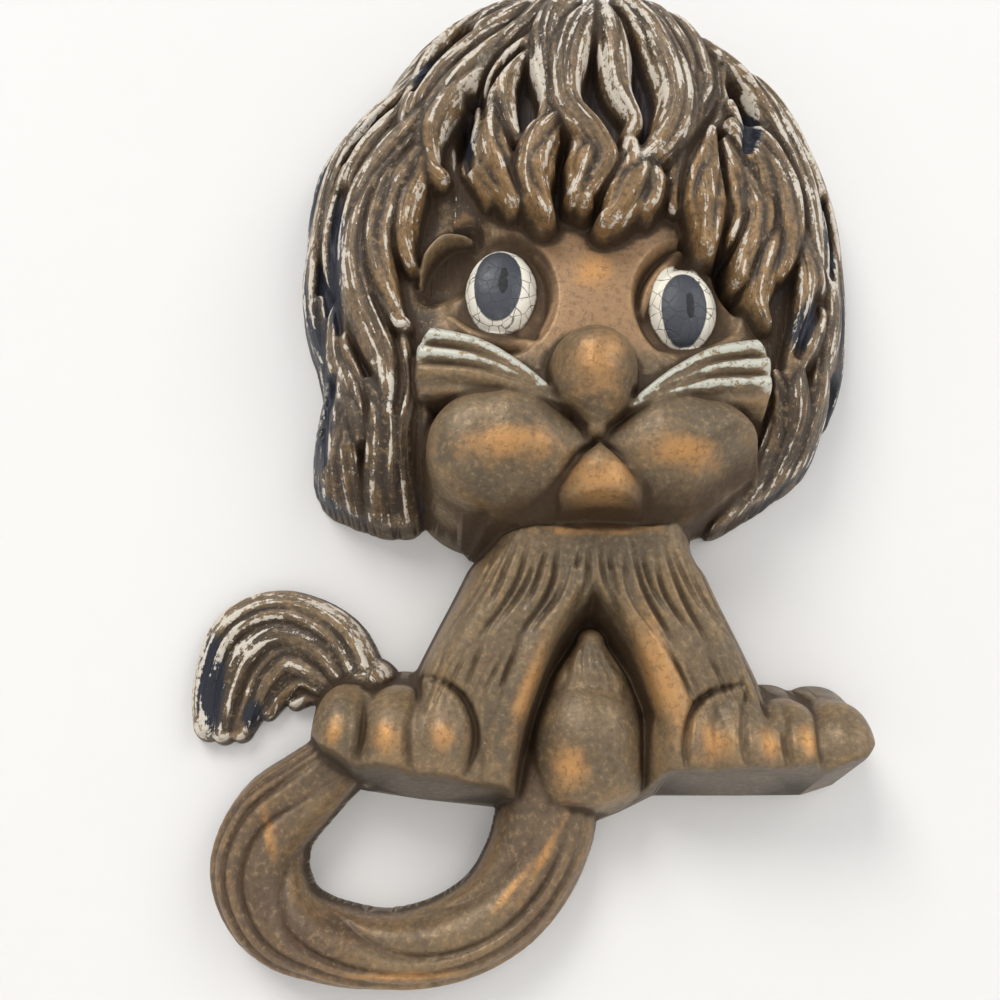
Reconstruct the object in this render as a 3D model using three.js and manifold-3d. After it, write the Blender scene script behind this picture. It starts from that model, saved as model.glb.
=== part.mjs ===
// Seated lion wall plaque: one solid plaster casting in high relief with a flat back.
// A shaggy mane frames the face, two paws stand on a sloping ledge and the tail curls into an open ring.
// The relief is drawn as heights over the wall, x to the right and z up from the lowest point of the tail.
// Millimetres, +Z up, the wall at y = 0, the lion looking to -Y, the origin at the hanging point on the back.
import * as THREE from "three";
import { mergeVertices } from "three/addons/utils/BufferGeometryUtils.js";
import Module from "manifold-3d";

// Driving dimensions in millimetres.
const PLAQUE_HEIGHT = 413; // lowest point of the tail to the top of the mane
const PLAQUE_WIDTH = 257; // left edge of the tuft to the right edge of the mane
const NOSE_REACH = 67; // flat back to the tip of the nose
const HANG_HEIGHT = 290; // lowest point of the tail to the hanging point
const FACET_ERROR = 1.2; // how far a facet may stray from the carved surface

// The figure is drawn on a square sheet in its own units, so that its proportions follow the sizes above.
const DRAWN_HEIGHT = 413;
const DRAWN_WIDTH = 257;
const DRAWN_REACH = 67;
const DRAWN_MIDDLE = -19; // of its width, from the axis of the face
const SHEET_CELLS = 256;
const SHEET_MARGIN = 11; // kept empty under the tail
const SHEET_SIDE = DRAWN_HEIGHT + SHEET_MARGIN;
const SHEET_LEFT = DRAWN_MIDDLE - SHEET_SIDE / 2;
const SHEET_BOTTOM = -SHEET_MARGIN;
const CELL = SHEET_SIDE / SHEET_CELLS;
const ROW = SHEET_CELLS + 1;
const BELOW_WALL = -24; // drawn depth under the wall plane, which the flat back cuts away
const SIDE_SLOPE = 4; // how steeply every edge falls to the wall
const FACE_AXIS = 1.5;

const xAt = (i) => SHEET_LEFT + i * CELL;
const zAt = (j) => SHEET_BOTTOM + j * CELL;
const newSheet = () => new Float32Array(ROW * ROW).fill(BELOW_WALL);

// Evenly spaced values read at a share from 0 to 1.
function along(values, share) {
  if (typeof values === "number") return values;
  const place = THREE.MathUtils.clamp(share, 0, 1) * (values.length - 1);
  const i = Math.min(Math.floor(place), values.length - 2);
  return THREE.MathUtils.lerp(values[i], values[i + 1], place - i);
}

// A height read from rows of [z, value].
function byHeight(rows, z) {
  if (z <= rows[0][0]) return rows[0][1];
  for (let k = 1; k < rows.length; k++) {
    const [z0, v0] = rows[k - 1];
    const [z1, v1] = rows[k];
    if (z <= z1) return THREE.MathUtils.mapLinear(z, z0, z1, v0, v1);
  }
  return rows.at(-1)[1];
}

function softMax(a, b, width) {
  if (width === 0) return Math.max(a, b);
  const near = Math.max(0, width - Math.abs(a - b));
  return Math.max(a, b) + (near * near) / (4 * width);
}

const softMin = (a, b, width) => -softMax(-a, -b, width);

function smoothLine(points, pieces = 6) {
  const curve = new THREE.SplineCurve(points.map(([x, z]) => new THREE.Vector2(x, z)));
  return curve.getPoints(pieces * (points.length - 1));
}

// Visits the cells near a line with the share of its length and the distance across it, left of travel positive.
function visitNear(line, reach, visit) {
  const box = new THREE.Box2().setFromPoints(line).expandByScalar(reach);
  const i0 = Math.max(0, Math.ceil((box.min.x - SHEET_LEFT) / CELL));
  const i1 = Math.min(SHEET_CELLS, Math.floor((box.max.x - SHEET_LEFT) / CELL));
  const j0 = Math.max(0, Math.ceil((box.min.y - SHEET_BOTTOM) / CELL));
  const j1 = Math.min(SHEET_CELLS, Math.floor((box.max.y - SHEET_BOTTOM) / CELL));
  const starts = [0];
  for (let k = 1; k < line.length; k++) starts.push(starts[k - 1] + line[k].distanceTo(line[k - 1]));
  const total = starts.at(-1) || 1;
  for (let j = j0; j <= j1; j++) {
    for (let i = i0; i <= i1; i++) {
      const x = xAt(i);
      const z = zAt(j);
      let nearest = Infinity;
      let share = 0;
      let side = 1;
      for (let k = 1; k < line.length; k++) {
        const length = starts[k] - starts[k - 1];
        if (length === 0) continue;
        const ux = (line[k].x - line[k - 1].x) / length;
        const uz = (line[k].y - line[k - 1].y) / length;
        const dx = x - line[k - 1].x;
        const dz = z - line[k - 1].y;
        const run = THREE.MathUtils.clamp(dx * ux + dz * uz, 0, length);
        const distance = Math.hypot(dx - run * ux, dz - run * uz);
        if (distance < nearest) {
          nearest = distance;
          share = (starts[k - 1] + run) / total;
          side = dx * uz - dz * ux > 0 ? -1 : 1;
        }
      }
      if (nearest <= reach) visit(j * ROW + i, share, side * nearest, x, z);
    }
  }
}

// A long rounded swelling. Its half width, edge level and crest may change along it; ribs are the strands across it.
function stroke(sheet, points, { half, level, crest, power = 2, blend = 0, on, ribs = 0, ribDepth = 0, twist = 0,
  ribStart = 0, under }) {
  const widest = typeof half === "number" ? half : Math.max(...half);
  visitNear(smoothLine(points), widest + 20, (cell, share, across, x, z) => {
    const width = along(half, share);
    const q = Math.min(1, Math.abs(across) / width);
    const dome = (1 - q ** power) ** (1 / power);
    const low = along(level, share);
    let height = low + (along(crest, share) - low) * dome;
    height -= SIDE_SLOPE * Math.max(0, Math.abs(across) - width);
    if (ribs > 0) {
      const turns = ribs * 0.5 * (across / width + 1 + twist * share) + ribStart;
      height -= ribDepth * (1 - Math.sqrt(Math.abs(Math.sin(Math.PI * turns))));
    }
    if (on) height += on[cell];
    if (under) height = Math.min(height, under(x, z));
    sheet[cell] = softMax(sheet[cell], height, blend);
  });
}

function dome(sheet, [cx, cz], { rx, rz, level, crest, power = 2, blend = 0, under }) {
  const centre = [new THREE.Vector2(cx, cz), new THREE.Vector2(cx, cz + 1e-3)];
  visitNear(centre, Math.max(rx, rz) + 20, (cell, share, across, x, z) => {
    const r = (Math.abs((x - cx) / rx) ** power + Math.abs((z - cz) / rz) ** power) ** (1 / power);
    let height = level + (crest - level) * Math.sqrt(Math.max(0, 1 - r * r));
    height -= SIDE_SLOPE * Math.max(0, r - 1) * Math.min(rx, rz);
    if (under) height = Math.min(height, under(x, z));
    sheet[cell] = softMax(sheet[cell], height, blend);
  });
}

// Presses the surface down to a floor inside an ellipse, with a soft rim.
function hollow(sheet, [cx, cz], { rx, rz, floor, turn = 0 }) {
  const rim = 0.35;
  const centre = [new THREE.Vector2(cx, cz), new THREE.Vector2(cx, cz + 1e-3)];
  visitNear(centre, Math.max(rx, rz) * 1.5, (cell, share, across, x, z) => {
    const spot = new THREE.Vector2(x - cx, z - cz).rotateAround(new THREE.Vector2(), -turn);
    const press = THREE.MathUtils.smoothstep(1 + rim - Math.hypot(spot.x / rx, spot.y / rz), 0, rim);
    if (sheet[cell] > floor) sheet[cell] = THREE.MathUtils.lerp(sheet[cell], floor, press);
  });
}

// An incised line.
function groove(sheet, points, { half, depth }) {
  visitNear(smoothLine(points), 3 * Math.max(...half), (cell, share, across) => {
    const cut = along(depth, share) * Math.exp(-((across / along(half, share)) ** 2));
    if (sheet[cell] > 0) sheet[cell] -= cut;
  });
}

// A slab inside a closed outline that rises from its rim to a flat top over a given reach.
function slab(sheet, outline, { rim, top, reach, power = 2.2, blend = 0, under }) {
  const line = smoothLine([...outline, outline[0]], 4);
  const inside = (x, z) => {
    let odd = false;
    for (let k = 1; k < line.length; k++) {
      const a = line[k - 1];
      const b = line[k];
      if (a.y > z !== b.y > z && x < a.x + ((z - a.y) * (b.x - a.x)) / (b.y - a.y)) odd = !odd;
    }
    return odd;
  };
  visitNear(line, 80, (cell, share, across, x, z) => {
    const depth = inside(x, z) ? Math.abs(across) : -Math.abs(across);
    const rise = THREE.MathUtils.clamp(depth / reach, 0, 1);
    let height = rim + (top - rim) * (1 - (1 - rise) ** power) - SIDE_SLOPE * Math.max(0, -depth);
    if (under) height = Math.min(height, under(x, z));
    sheet[cell] = softMax(sheet[cell], height, blend);
  });
}

// Locks that fan out between a first and a last line, side by side.
function fan(sheet, first, last, count, draw) {
  for (let k = 0; k < count; k++) {
    const share = count === 1 ? 0 : k / (count - 1);
    const points = first.map(([x, z], n) => [
      THREE.MathUtils.lerp(x, last[n][0], share),
      THREE.MathUtils.lerp(z, last[n][1], share),
    ]);
    draw(points, share, k);
  }
}

// The tail: a grooved band that leaves the belly, curls into a ring and ends in a tuft beside the left paw.
const RING_LINE = [[-78, 82], [-97, 65], [-110, 51], [-112, 35], [-101, 20], [-81, 13.8], [-60, 13.3], [-42, 18],
  [-27, 28], [-17, 43], [-12, 60], [-10, 72]];

function tailRing(sheet) {
  stroke(sheet, RING_LINE, {
    half: [11, 12.5, 15.5, 16.5, 15, 12.5, 12, 13, 14.5, 16.5, 18, 17],
    level: 2, crest: 21, power: 2.4, ribs: 3, ribDepth: 2.4, twist: 1, ribStart: 0.25,
  });
}

function tailTuft(sheet) {
  stroke(sheet, [[-80, 98], [-84, 86], [-76, 76]], { half: [13, 12, 12], level: 3, crest: 19 });
  const outer = [[-78, 96], [-92, 118], [-114, 127], [-133, 119], [-139.5, 100], [-139, 77]];
  const inner = [[-82, 88], [-89, 95], [-96, 98], [-103, 97], [-106, 95], [-108, 93]];
  fan(sheet, outer, inner, 5, (points, share) =>
    stroke(sheet, points, {
      half: [8, 9, 8, 7 - share, 6 - share, 2], level: 3,
      crest: [18, 16, 14, 12, 10, 8].map((top) => top - 3 * share),
    }));
}

// The two front legs, from the collar down to the paws: rows of height and distance from the face's axis.
const LEG_INSIDE = [[57, 25], [67, 24.5], [88, 22], [101, 17], [118, 9.5], [133, 0], [158, 0]];
const LEG_OUTSIDE = [[57, 72], [67, 71], [88, 68], [101, 65], [118, 58], [133, 51], [158, 40]];
const LEG_TOP = 33;
const RECESS_HALF = [[57, 24], [67, 23.5], [88, 21], [101, 16.5], [116, 8], [126, 0], [158, -34]];
const RECESS_FLOOR = 12;
const RECESS_SLOPE = 1.9;
const COLLAR_LINE = [[-46, 148], [-36, 152.5], [-20, 156.5], [0, 158], [22, 158], [35, 159.5],
  [46, 167], [60, 178]];
const COLLAR_FALL = 7; // how steeply the legs end behind the collar's rim

const aboveCollar = (x, z) => z - byHeight(COLLAR_LINE, x);

function onLeg(side, share, z) {
  const across = THREE.MathUtils.lerp(byHeight(LEG_INSIDE, z), byHeight(LEG_OUTSIDE, z), share);
  return [FACE_AXIS + side * across, z];
}

function legs(sheet) {
  const left = [158, 145, 133, 118, 101, 80, 57].map((z) => onLeg(-1, 1, z));
  const right = [57, 80, 101, 118, 133, 145, 158].map((z) => onLeg(1, 1, z));
  slab(sheet, [[-40, 200], ...left, ...right, [42, 200]], { rim: 3, top: LEG_TOP, reach: 15 });
  for (const side of [-1, 1]) {
    for (let k = 0; k < 6; k++) {
      const line = [154, 140, 124, 106, 88, 66].map((z) => onLeg(side, 0.12 + 0.15 * k, z));
      groove(sheet, line, { half: [1.1, 1.4, 1.4, 1.2], depth: [0.4, 1.4, 1.4, 0.9] });
    }
  }
}

// The pointed recess between the legs, with a rounded roll along each leg's inner edge.
function recess(sheet) {
  for (let j = 0; j <= SHEET_CELLS; j++) {
    for (let i = 0; i <= SHEET_CELLS; i++) {
      const z = zAt(j);
      if (z < LEDGE_TOP || z > 182) continue;
      const past = Math.max(0, Math.abs(xAt(i) - FACE_AXIS) - byHeight(RECESS_HALF, z));
      const cell = j * ROW + i;
      sheet[cell] = softMin(sheet[cell], RECESS_FLOOR + RECESS_SLOPE * past, 8);
    }
  }
  for (const side of [-1, 1]) {
    const roll = [140, 128, 116, 101, 84, 66].map((z) => {
      return [FACE_AXIS + side * (byHeight(LEG_INSIDE, z) + 8), z];
    });
    stroke(sheet, roll, { half: [3, 4, 5, 6, 6, 5], level: 26, crest: [32, 34, 35, 35, 34, 32], blend: 6 });
  }
}

// The legs end in the collar's rim, which stands in front of the neck.
function cutCollar(sheet) {
  for (let j = 0; j <= SHEET_CELLS; j++) {
    for (let i = 0; i <= SHEET_CELLS; i++) {
      const cell = j * ROW + i;
      sheet[cell] = Math.min(sheet[cell], LEG_TOP + 3 - COLLAR_FALL * aboveCollar(xAt(i), zAt(j)));
    }
  }
}

function belly(sheet) {
  stroke(sheet, [[FACE_AXIS, 117], [FACE_AXIS, 108], [FACE_AXIS, 94]], {
    half: [6, 14, 19], level: 12, crest: [22, 26, 27], power: 2.4,
  });
  dome(sheet, [1, 77], { rx: 21, rz: 23, level: 10, crest: 31, power: 2.2 });
}

// Each paw is one rounded mass with its toes side by side.
const TOES = 4;

function paw(sheet, centre, width, toes) {
  dome(sheet, [centre, 79], { rx: width / 2, rz: 21, level: 6, crest: 35, power: 2.7, blend: 3 });
  const toeWidth = (width - 4) / toes;
  for (let k = 0; k < toes; k++) {
    const across = k - (toes - 1) / 2;
    dome(sheet, [centre + across * toeWidth, 80], {
      rx: toeWidth * 0.72, rz: 20, level: 16, crest: 38.5 - 1.3 * across * across, power: 2.4, blend: 5,
    });
  }
}

// The underside of the paws, legs and belly is one sloping ledge.
const LEDGE_TOP = 56;
const LEDGE_LINE = [[-96, 78], [-90, 70], [-80, 64.5], [-58, 62], [-29, 60], [-14, 57], [4, 56], [14, 60], [26, 66],
  [57, 67], [80, 68], [92, 72], [101, 82]];
const LEDGE_SLOPE = 3.6;

const ledge = (x, z) => 3 + LEDGE_SLOPE * (z - byHeight(LEDGE_LINE, x));

function cutLedge(sheet, tail) {
  for (let j = 0; j <= SHEET_CELLS; j++) {
    for (let i = 0; i <= SHEET_CELLS; i++) {
      const cell = j * ROW + i;
      const limit = ledge(xAt(i), zAt(j));
      if (limit < sheet[cell] + 3) sheet[cell] = Math.max(softMin(sheet[cell], limit, 3), tail[cell]);
    }
  }
}

function body() {
  const tail = newSheet();
  tailTuft(tail);
  tailRing(tail);
  const sheet = newSheet();
  legs(sheet);
  recess(sheet);
  cutCollar(sheet);
  belly(sheet);
  paw(sheet, -66.5, 55, TOES - 1);
  paw(sheet, 61, 74, TOES);
  cutLedge(sheet, tail);
  for (let cell = 0; cell < sheet.length; cell++) sheet[cell] = Math.max(sheet[cell], tail[cell]);
  return sheet;
}

// The head without its locks: the mane's bulk, the face, the jaw and the crown.
const MANE_OUTLINE = [[-1, 412], [-27, 410], [-50, 403], [-70, 388], [-84, 371], [-94, 352], [-110, 330],
  [-118, 308], [-119, 264], [-110, 230], [-105, 214], [-107, 196], [-105, 174], [-88, 164], [-70, 161], [-56, 167],
  [0, 180], [30, 172], [40, 164], [50, 165], [66, 175], [79, 184], [91, 194], [98, 208], [104, 226], [108, 253],
  [109, 282], [107, 302], [102, 323], [94, 345], [82, 364], [66, 376], [57, 382], [52, 394], [30, 408]];
const JAW_OUTLINE = [[-65, 216], [-61, 192], [-54, 174], [-44, 158], [-38, 153], [0, 150], [34, 157], [45, 165],
  [57, 176], [66, 192], [70, 214], [0, 228]];
const NECK_REACH = 27; // how far the neck stands off the wall behind the collar
const NECK_SLOPE = 3; // how steeply it comes forward up to the chin

function neckFront(x, z) {
  const rise = aboveCollar(x, z);
  return NECK_REACH + (rise > 0 ? NECK_SLOPE : SIDE_SLOPE) * rise;
}

function headMass() {
  const sheet = newSheet();
  slab(sheet, MANE_OUTLINE, { rim: 6, top: 35, reach: 44, power: 2.7 });
  slab(sheet, JAW_OUTLINE, { rim: 5, top: 42, reach: 20, blend: 4, under: neckFront });
  dome(sheet, [0, 226], { rx: 71, rz: 76, level: 26, crest: 43, blend: 6, under: neckFront });
  dome(sheet, [-6, 326], { rx: 74, rz: 66, level: 28, crest: 46, blend: 8 });
  return sheet;
}

function eyes(sheet) {
  for (const side of [-1, 1]) {
    hollow(sheet, [side * 36, 246], { rx: 18, rz: 23, floor: 34, turn: -side * 0.14 });
  }
  hollow(sheet, [-55, 261], { rx: 9, rz: 12, floor: 22, turn: -0.5 });
  hollow(sheet, [57, 256], { rx: 7, rz: 13, floor: 26, turn: 0.35 });
  dome(sheet, [-35.5, 247], { rx: 15, rz: 18.5, level: 33, crest: 42 });
  dome(sheet, [34, 243], { rx: 13.5, rz: 17.5, level: 33, crest: 42 });
}

function muzzle(sheet) {
  for (const side of [-1, 1]) {
    stroke(sheet, [[side * 4, 184], [side * 13, 182], [side * 23, 181], [side * 32, 180], [side * 38, 180]], {
      half: [3, 12, 18.5, 21, 20.5], level: [44, 40, 34, 28, 26], crest: [47, 52, 56, 57, 56], power: 2.2, blend: 5,
      under: neckFront,
    });
  }
  stroke(sheet, [[1, 184], [1, 177], [2, 170], [2, 168]], {
    half: [1, 9, 15, 15.5], level: 38, crest: [48, 53, 54, 54], blend: 1, under: neckFront,
  });
}

// Each whisker pad is a wedge that widens away from the nose, carries three ridges and stops in a cliff.
const WHISKER_END = 61;

function whiskers(sheet) {
  const under = (x) => 60 - 7 * Math.max(0, Math.abs(x) - WHISKER_END);
  for (const side of [-1, 1]) {
    stroke(sheet, [[side * 11, 196], [side * 30, 204], [side * 47, 209.5], [side * 62, 211]], {
      half: [1.5, 7, 11, 13], level: [48, 46, 44, 42], crest: [50, 50, 49, 48], power: 5, under,
    });
    for (const rise of [8.5, 1, -6.5]) {
      const line = [[12, 196.5 + 0.12 * rise], [28, 205 + 0.55 * rise], [44, 210.5 + 0.85 * rise], [63, 212 + rise]];
      stroke(sheet, line.map(([x, z]) => [side * x, z]), {
        half: [1, 2.4, 3.2, 3.6], level: [49, 48.5, 47.5, 46.5], crest: [52, 52.5, 52, 51], under,
      });
    }
  }
}

function nose(sheet) {
  stroke(sheet, [[0, 189], [0, 196], [-1, 203], [-1, 211]], {
    half: [3.5, 12, 16, 17], level: 42, crest: [50, 61, 66, DRAWN_REACH], blend: 2,
  });
}

// One lock of hair: it lies on the head, lifted a little.
function lock(sheet, on, points, half, lift) {
  stroke(sheet, points, {
    half, on, power: 1.7, level: 0.6 * lift, crest: half.map((width) => 0.6 * lift + 0.8 * width + 1),
  });
}

const LOCK_TAPER = [0.5, 1, 1, 0.9, 0.2];

function lockFan(sheet, on, first, last, count, half, lift) {
  fan(sheet, first, last, count, (points, share, k) =>
    lock(sheet, on, points, LOCK_TAPER.map((taper) => taper * half), lift + (k % 2)));
}

// The mane at the sides hangs in fans, from the rim inwards.
function sideMane(sheet, on) {
  lockFan(sheet, on, [[-62, 384], [-86, 356], [-109, 322], [-116, 292], [-116, 262]],
    [[-56, 352], [-70, 326], [-82, 296], [-84, 264], [-76, 238]], 4, 8, 3);
  lockFan(sheet, on, [[-97, 262], [-103, 238], [-100, 214], [-103, 196], [-104, 172]],
    [[-70, 226], [-74, 210], [-72, 194], [-66, 178], [-60, 163]], 4, 7.5, 2);
  lockFan(sheet, on, [[-86, 286], [-88, 262], [-86, 240], [-80, 220], [-75, 196]],
    [[-68, 282], [-68, 266], [-66, 252], [-62, 240], [-60, 226]], 3, 5.5, 5);
  lockFan(sheet, on, [[50, 384], [78, 366], [97, 336], [105, 304], [108, 264]],
    [[44, 354], [58, 332], [70, 306], [74, 284], [68, 258]], 4, 8.5, 3);
  lockFan(sheet, on, [[104, 284], [105, 254], [100, 228], [93, 208], [82, 188]],
    [[72, 262], [72, 240], [70, 220], [65, 196], [50, 168]], 4, 8, 6);
  lockFan(sheet, on, [[72, 288], [66, 270], [63, 252], [62, 240], [67, 225]],
    [[60, 304], [63, 284], [58, 266], [54, 252], [55, 238]], 2, 5.5, 5);
}

// The crown's locks sweep from the parting at the top to the fringe, where their tips overhang the forehead.
function crown(sheet, on) {
  lockFan(sheet, on, [[-38, 402], [-60, 388], [-78, 366], [-86, 346], [-88, 330]],
    [[-20, 394], [-44, 370], [-62, 344], [-70, 320], [-68, 294]], 4, 7.5, 4);
  lockFan(sheet, on, [[26, 400], [42, 380], [48, 352], [42, 320], [32, 278]],
    [[12, 398], [26, 372], [35, 344], [36, 318], [27, 288]], 2, 8, 5);
  lockFan(sheet, on, [[-24, 378], [-44, 348], [-53, 330], [-46, 304], [-38, 272]],
    [[-14, 370], [-26, 346], [-37, 324], [-34, 300], [-22, 266]], 3, 6, 8);
  lockFan(sheet, on, [[-8, 394], [-20, 360], [-20, 338], [-21, 316], [-28, 298]],
    [[-2, 378], [-10, 348], [-12, 324], [-22, 296], [-15, 259]], 2, 7, 9.5);
  lockFan(sheet, on, [[-2, 384], [-8, 350], [-9, 322], [1, 294], [-5, 261]],
    [[4, 386], [6, 352], [9, 326], [16, 302], [16, 264]], 2, 7, 10);
  lock(sheet, on, [[12, 300], [14, 280], [7, 266], [-3, 256]], [4, 7, 6, 3], 10);
  lock(sheet, on, [[10, 390], [24, 356], [31, 328], [26, 308], [8, 289]], [4, 8, 9, 8, 2], 13);
  lock(sheet, on, [[46, 312], [52, 292], [50, 276], [43, 264]], [3, 6, 6, 2], 6);
}

function figure() {
  const sheet = headMass();
  const bare = sheet.slice();
  eyes(sheet);
  muzzle(sheet);
  whiskers(sheet);
  nose(sheet);
  sideMane(sheet, bare);
  crown(sheet, bare);
  const lower = body();
  return sheet.map((height, cell) => Math.max(height, lower[cell]));
}

const slopeAt = (sheet, cell) => [1, ROW].map((next) => {
  return ((sheet[cell + next] ?? BELOW_WALL) - (sheet[cell - next] ?? BELOW_WALL)) / (2 * CELL);
});

// How far each halving point of the sheet's right triangles strays from the surface, finest triangles first.
function strayOf(sheet) {
  const stray = new Float32Array(ROW * ROW);
  const finest = SHEET_CELLS * SHEET_CELLS;
  for (let n = 2 * finest - 3; n >= 0; n--) {
    let id = n + 2;
    let [ax, ay, bx, by, cx, cy] = id & 1
      ? [0, 0, SHEET_CELLS, SHEET_CELLS, SHEET_CELLS, 0]
      : [SHEET_CELLS, SHEET_CELLS, 0, 0, 0, SHEET_CELLS];
    while ((id >>= 1) > 1) {
      const mx = (ax + bx) >> 1;
      const my = (ay + by) >> 1;
      [ax, ay, bx, by] = id & 1 ? [cx, cy, ax, ay] : [bx, by, cx, cy];
      cx = mx;
      cy = my;
    }
    const a = ay * ROW + ax;
    const b = by * ROW + bx;
    const middle = ((ay + by) >> 1) * ROW + ((ax + bx) >> 1);
    const drawn = Math.max(sheet[a], sheet[b], sheet[middle]) > 0;
    const off = Math.abs((sheet[a] + sheet[b]) / 2 - sheet[middle]) / Math.hypot(1, ...slopeAt(sheet, middle));
    let most = drawn ? Math.max(stray[middle], off) : stray[middle];
    if (n < finest - 2) {
      const left = ((ay + cy) >> 1) * ROW + ((ax + cx) >> 1);
      const right = ((by + cy) >> 1) * ROW + ((bx + cx) >> 1);
      most = Math.max(most, stray[left], stray[right]);
    }
    stray[middle] = most;
  }
  return stray;
}

// A closed block: the relief in front, straight sides, and a back face under the wall plane.
function blockOf(sheet) {
  const stray = strayOf(sheet);
  const wide = PLAQUE_WIDTH / DRAWN_WIDTH;
  const high = PLAQUE_HEIGHT / DRAWN_HEIGHT;
  const reach = NOSE_REACH / DRAWN_REACH;
  const back = -3 * BELOW_WALL * reach;
  const positions = [];
  const rim = [];
  const spot = (i, j, y) => [xAt(i) * wide, y, zAt(j) * high - HANG_HEIGHT];
  const front = (i, j) => spot(i, j, -sheet[j * ROW + i] * reach);
  const split = (ax, ay, bx, by, cx, cy) => {
    const mx = (ax + bx) >> 1;
    const my = (ay + by) >> 1;
    if (Math.abs(ax - cx) + Math.abs(ay - cy) > 1 && stray[my * ROW + mx] > FACET_ERROR) {
      split(cx, cy, ax, ay, mx, my);
      split(bx, by, cx, cy, mx, my);
      return;
    }
    const corners = [[ax, ay], [cx, cy], [bx, by]];
    for (const [i, j] of corners) positions.push(...front(i, j));
    corners.forEach((from, k) => {
      const to = corners[(k + 1) % 3];
      const edge = (n) => from[n] === to[n] && (from[n] === 0 || from[n] === SHEET_CELLS);
      if (edge(0) || edge(1)) rim.push([from, to]);
    });
  };
  split(0, 0, SHEET_CELLS, SHEET_CELLS, SHEET_CELLS, 0);
  split(SHEET_CELLS, SHEET_CELLS, 0, 0, 0, SHEET_CELLS);
  const centre = spot(SHEET_CELLS / 2, SHEET_CELLS / 2, back);
  for (const [from, to] of rim) {
    const a = front(...from);
    const b = front(...to);
    const c = spot(...to, back);
    const d = spot(...from, back);
    positions.push(...b, ...a, ...d, ...b, ...d, ...c, ...c, ...d, ...centre);
  }
  return new THREE.BufferGeometry().setAttribute("position", new THREE.Float32BufferAttribute(positions, 3));
}

const wasm = await Module();
wasm.setup();

function solidOf(geometry) {
  geometry.deleteAttribute("normal");
  geometry.deleteAttribute("uv");
  const merged = mergeVertices(geometry, 1e-4);
  return new wasm.Manifold(new wasm.Mesh({
    numProp: 3,
    vertProperties: merged.attributes.position.array,
    triVerts: new Uint32Array(merged.index.array),
  }));
}

// The flat back is the wall plane: everything behind it is cut away.
function casting() {
  const room = 4 * Math.max(PLAQUE_HEIGHT, PLAQUE_WIDTH, NOSE_REACH, HANG_HEIGHT);
  const ahead = new THREE.BoxGeometry(room, room, room).translate(0, -room / 2, 0);
  const solid = solidOf(blockOf(figure())).intersect(solidOf(ahead));
  const mesh = solid.getMesh();
  return new THREE.BufferGeometry()
    .setAttribute("position", new THREE.BufferAttribute(mesh.vertProperties, 3))
    .setIndex(new THREE.BufferAttribute(mesh.triVerts, 1));
}

const bronzePaint = new THREE.MeshStandardMaterial({ color: 0x6e5c48, roughness: 0.45, metalness: 0.35 });
const plaque = new THREE.Mesh(casting(), bronzePaint);
plaque.name = "lion_plaque";

const group = new THREE.Group();
group.add(plaque);

export default group;
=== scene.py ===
"""Seated lion wall plaque: a plaster casting in high relief, painted as old bronze, hanging on a pale wall.

The relief is drawn as heights over the wall in figure units of about a millimetre, x to the right and z up
from the lowest point of the tail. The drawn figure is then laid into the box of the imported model.
"""
import math

import bmesh
import bpy
import numpy as np
from mathutils import Matrix, Vector


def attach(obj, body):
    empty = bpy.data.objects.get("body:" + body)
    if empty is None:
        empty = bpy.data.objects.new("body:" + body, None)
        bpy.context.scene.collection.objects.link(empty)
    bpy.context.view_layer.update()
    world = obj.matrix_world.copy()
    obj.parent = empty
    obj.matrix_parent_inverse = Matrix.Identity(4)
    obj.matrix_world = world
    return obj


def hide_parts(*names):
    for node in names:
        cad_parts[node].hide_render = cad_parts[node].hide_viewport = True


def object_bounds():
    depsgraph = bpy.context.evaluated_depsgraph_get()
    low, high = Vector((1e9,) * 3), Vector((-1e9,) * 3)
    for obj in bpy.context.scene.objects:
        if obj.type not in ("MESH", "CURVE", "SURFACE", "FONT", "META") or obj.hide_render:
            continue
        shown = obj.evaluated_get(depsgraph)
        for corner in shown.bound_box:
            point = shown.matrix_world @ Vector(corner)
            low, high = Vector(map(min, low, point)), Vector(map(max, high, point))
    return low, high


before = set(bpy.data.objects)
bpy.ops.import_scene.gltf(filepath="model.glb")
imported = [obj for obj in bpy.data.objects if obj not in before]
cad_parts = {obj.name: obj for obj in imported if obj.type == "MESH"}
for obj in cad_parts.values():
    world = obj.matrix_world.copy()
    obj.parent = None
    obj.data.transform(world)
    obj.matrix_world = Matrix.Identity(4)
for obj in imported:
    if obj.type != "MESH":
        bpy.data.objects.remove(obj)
cad_low, cad_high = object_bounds()

# The drawing sheet, in figure units.
CELL = 0.6
SHEET_LOW = (-150.0, -6.0)
SHEET_HIGH = (116.0, 418.0)
BELOW_WALL = -24.0
SIDE_SLOPE = 4.0  # how steeply every form falls away outside its outline
EDGE_REACH = 14.0  # how far outside its outline a form is still drawn
UNDER_BLEND = 5.0  # how softly a form is cut by the surface given over it
FACE_AXIS = 1.5
NOSE_REACH = 67.0
FACES_WANTED = 190000

# In metres.
WALL_GAP = 0.0008  # between the casting's back and the wall
WALL_HALF = 2.5
WALL_HIGH = 2.2
FLOOR_DROP = 0.15  # from the casting's lowest point

# What a cell of the sheet belongs to.
MANE, FACE, MUZZLE, NOSE, PAD, WHISKER, EYE, LEG, PAW, BELLY, RING, TUFT, LEDGE, RECESS = range(14)


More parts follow.
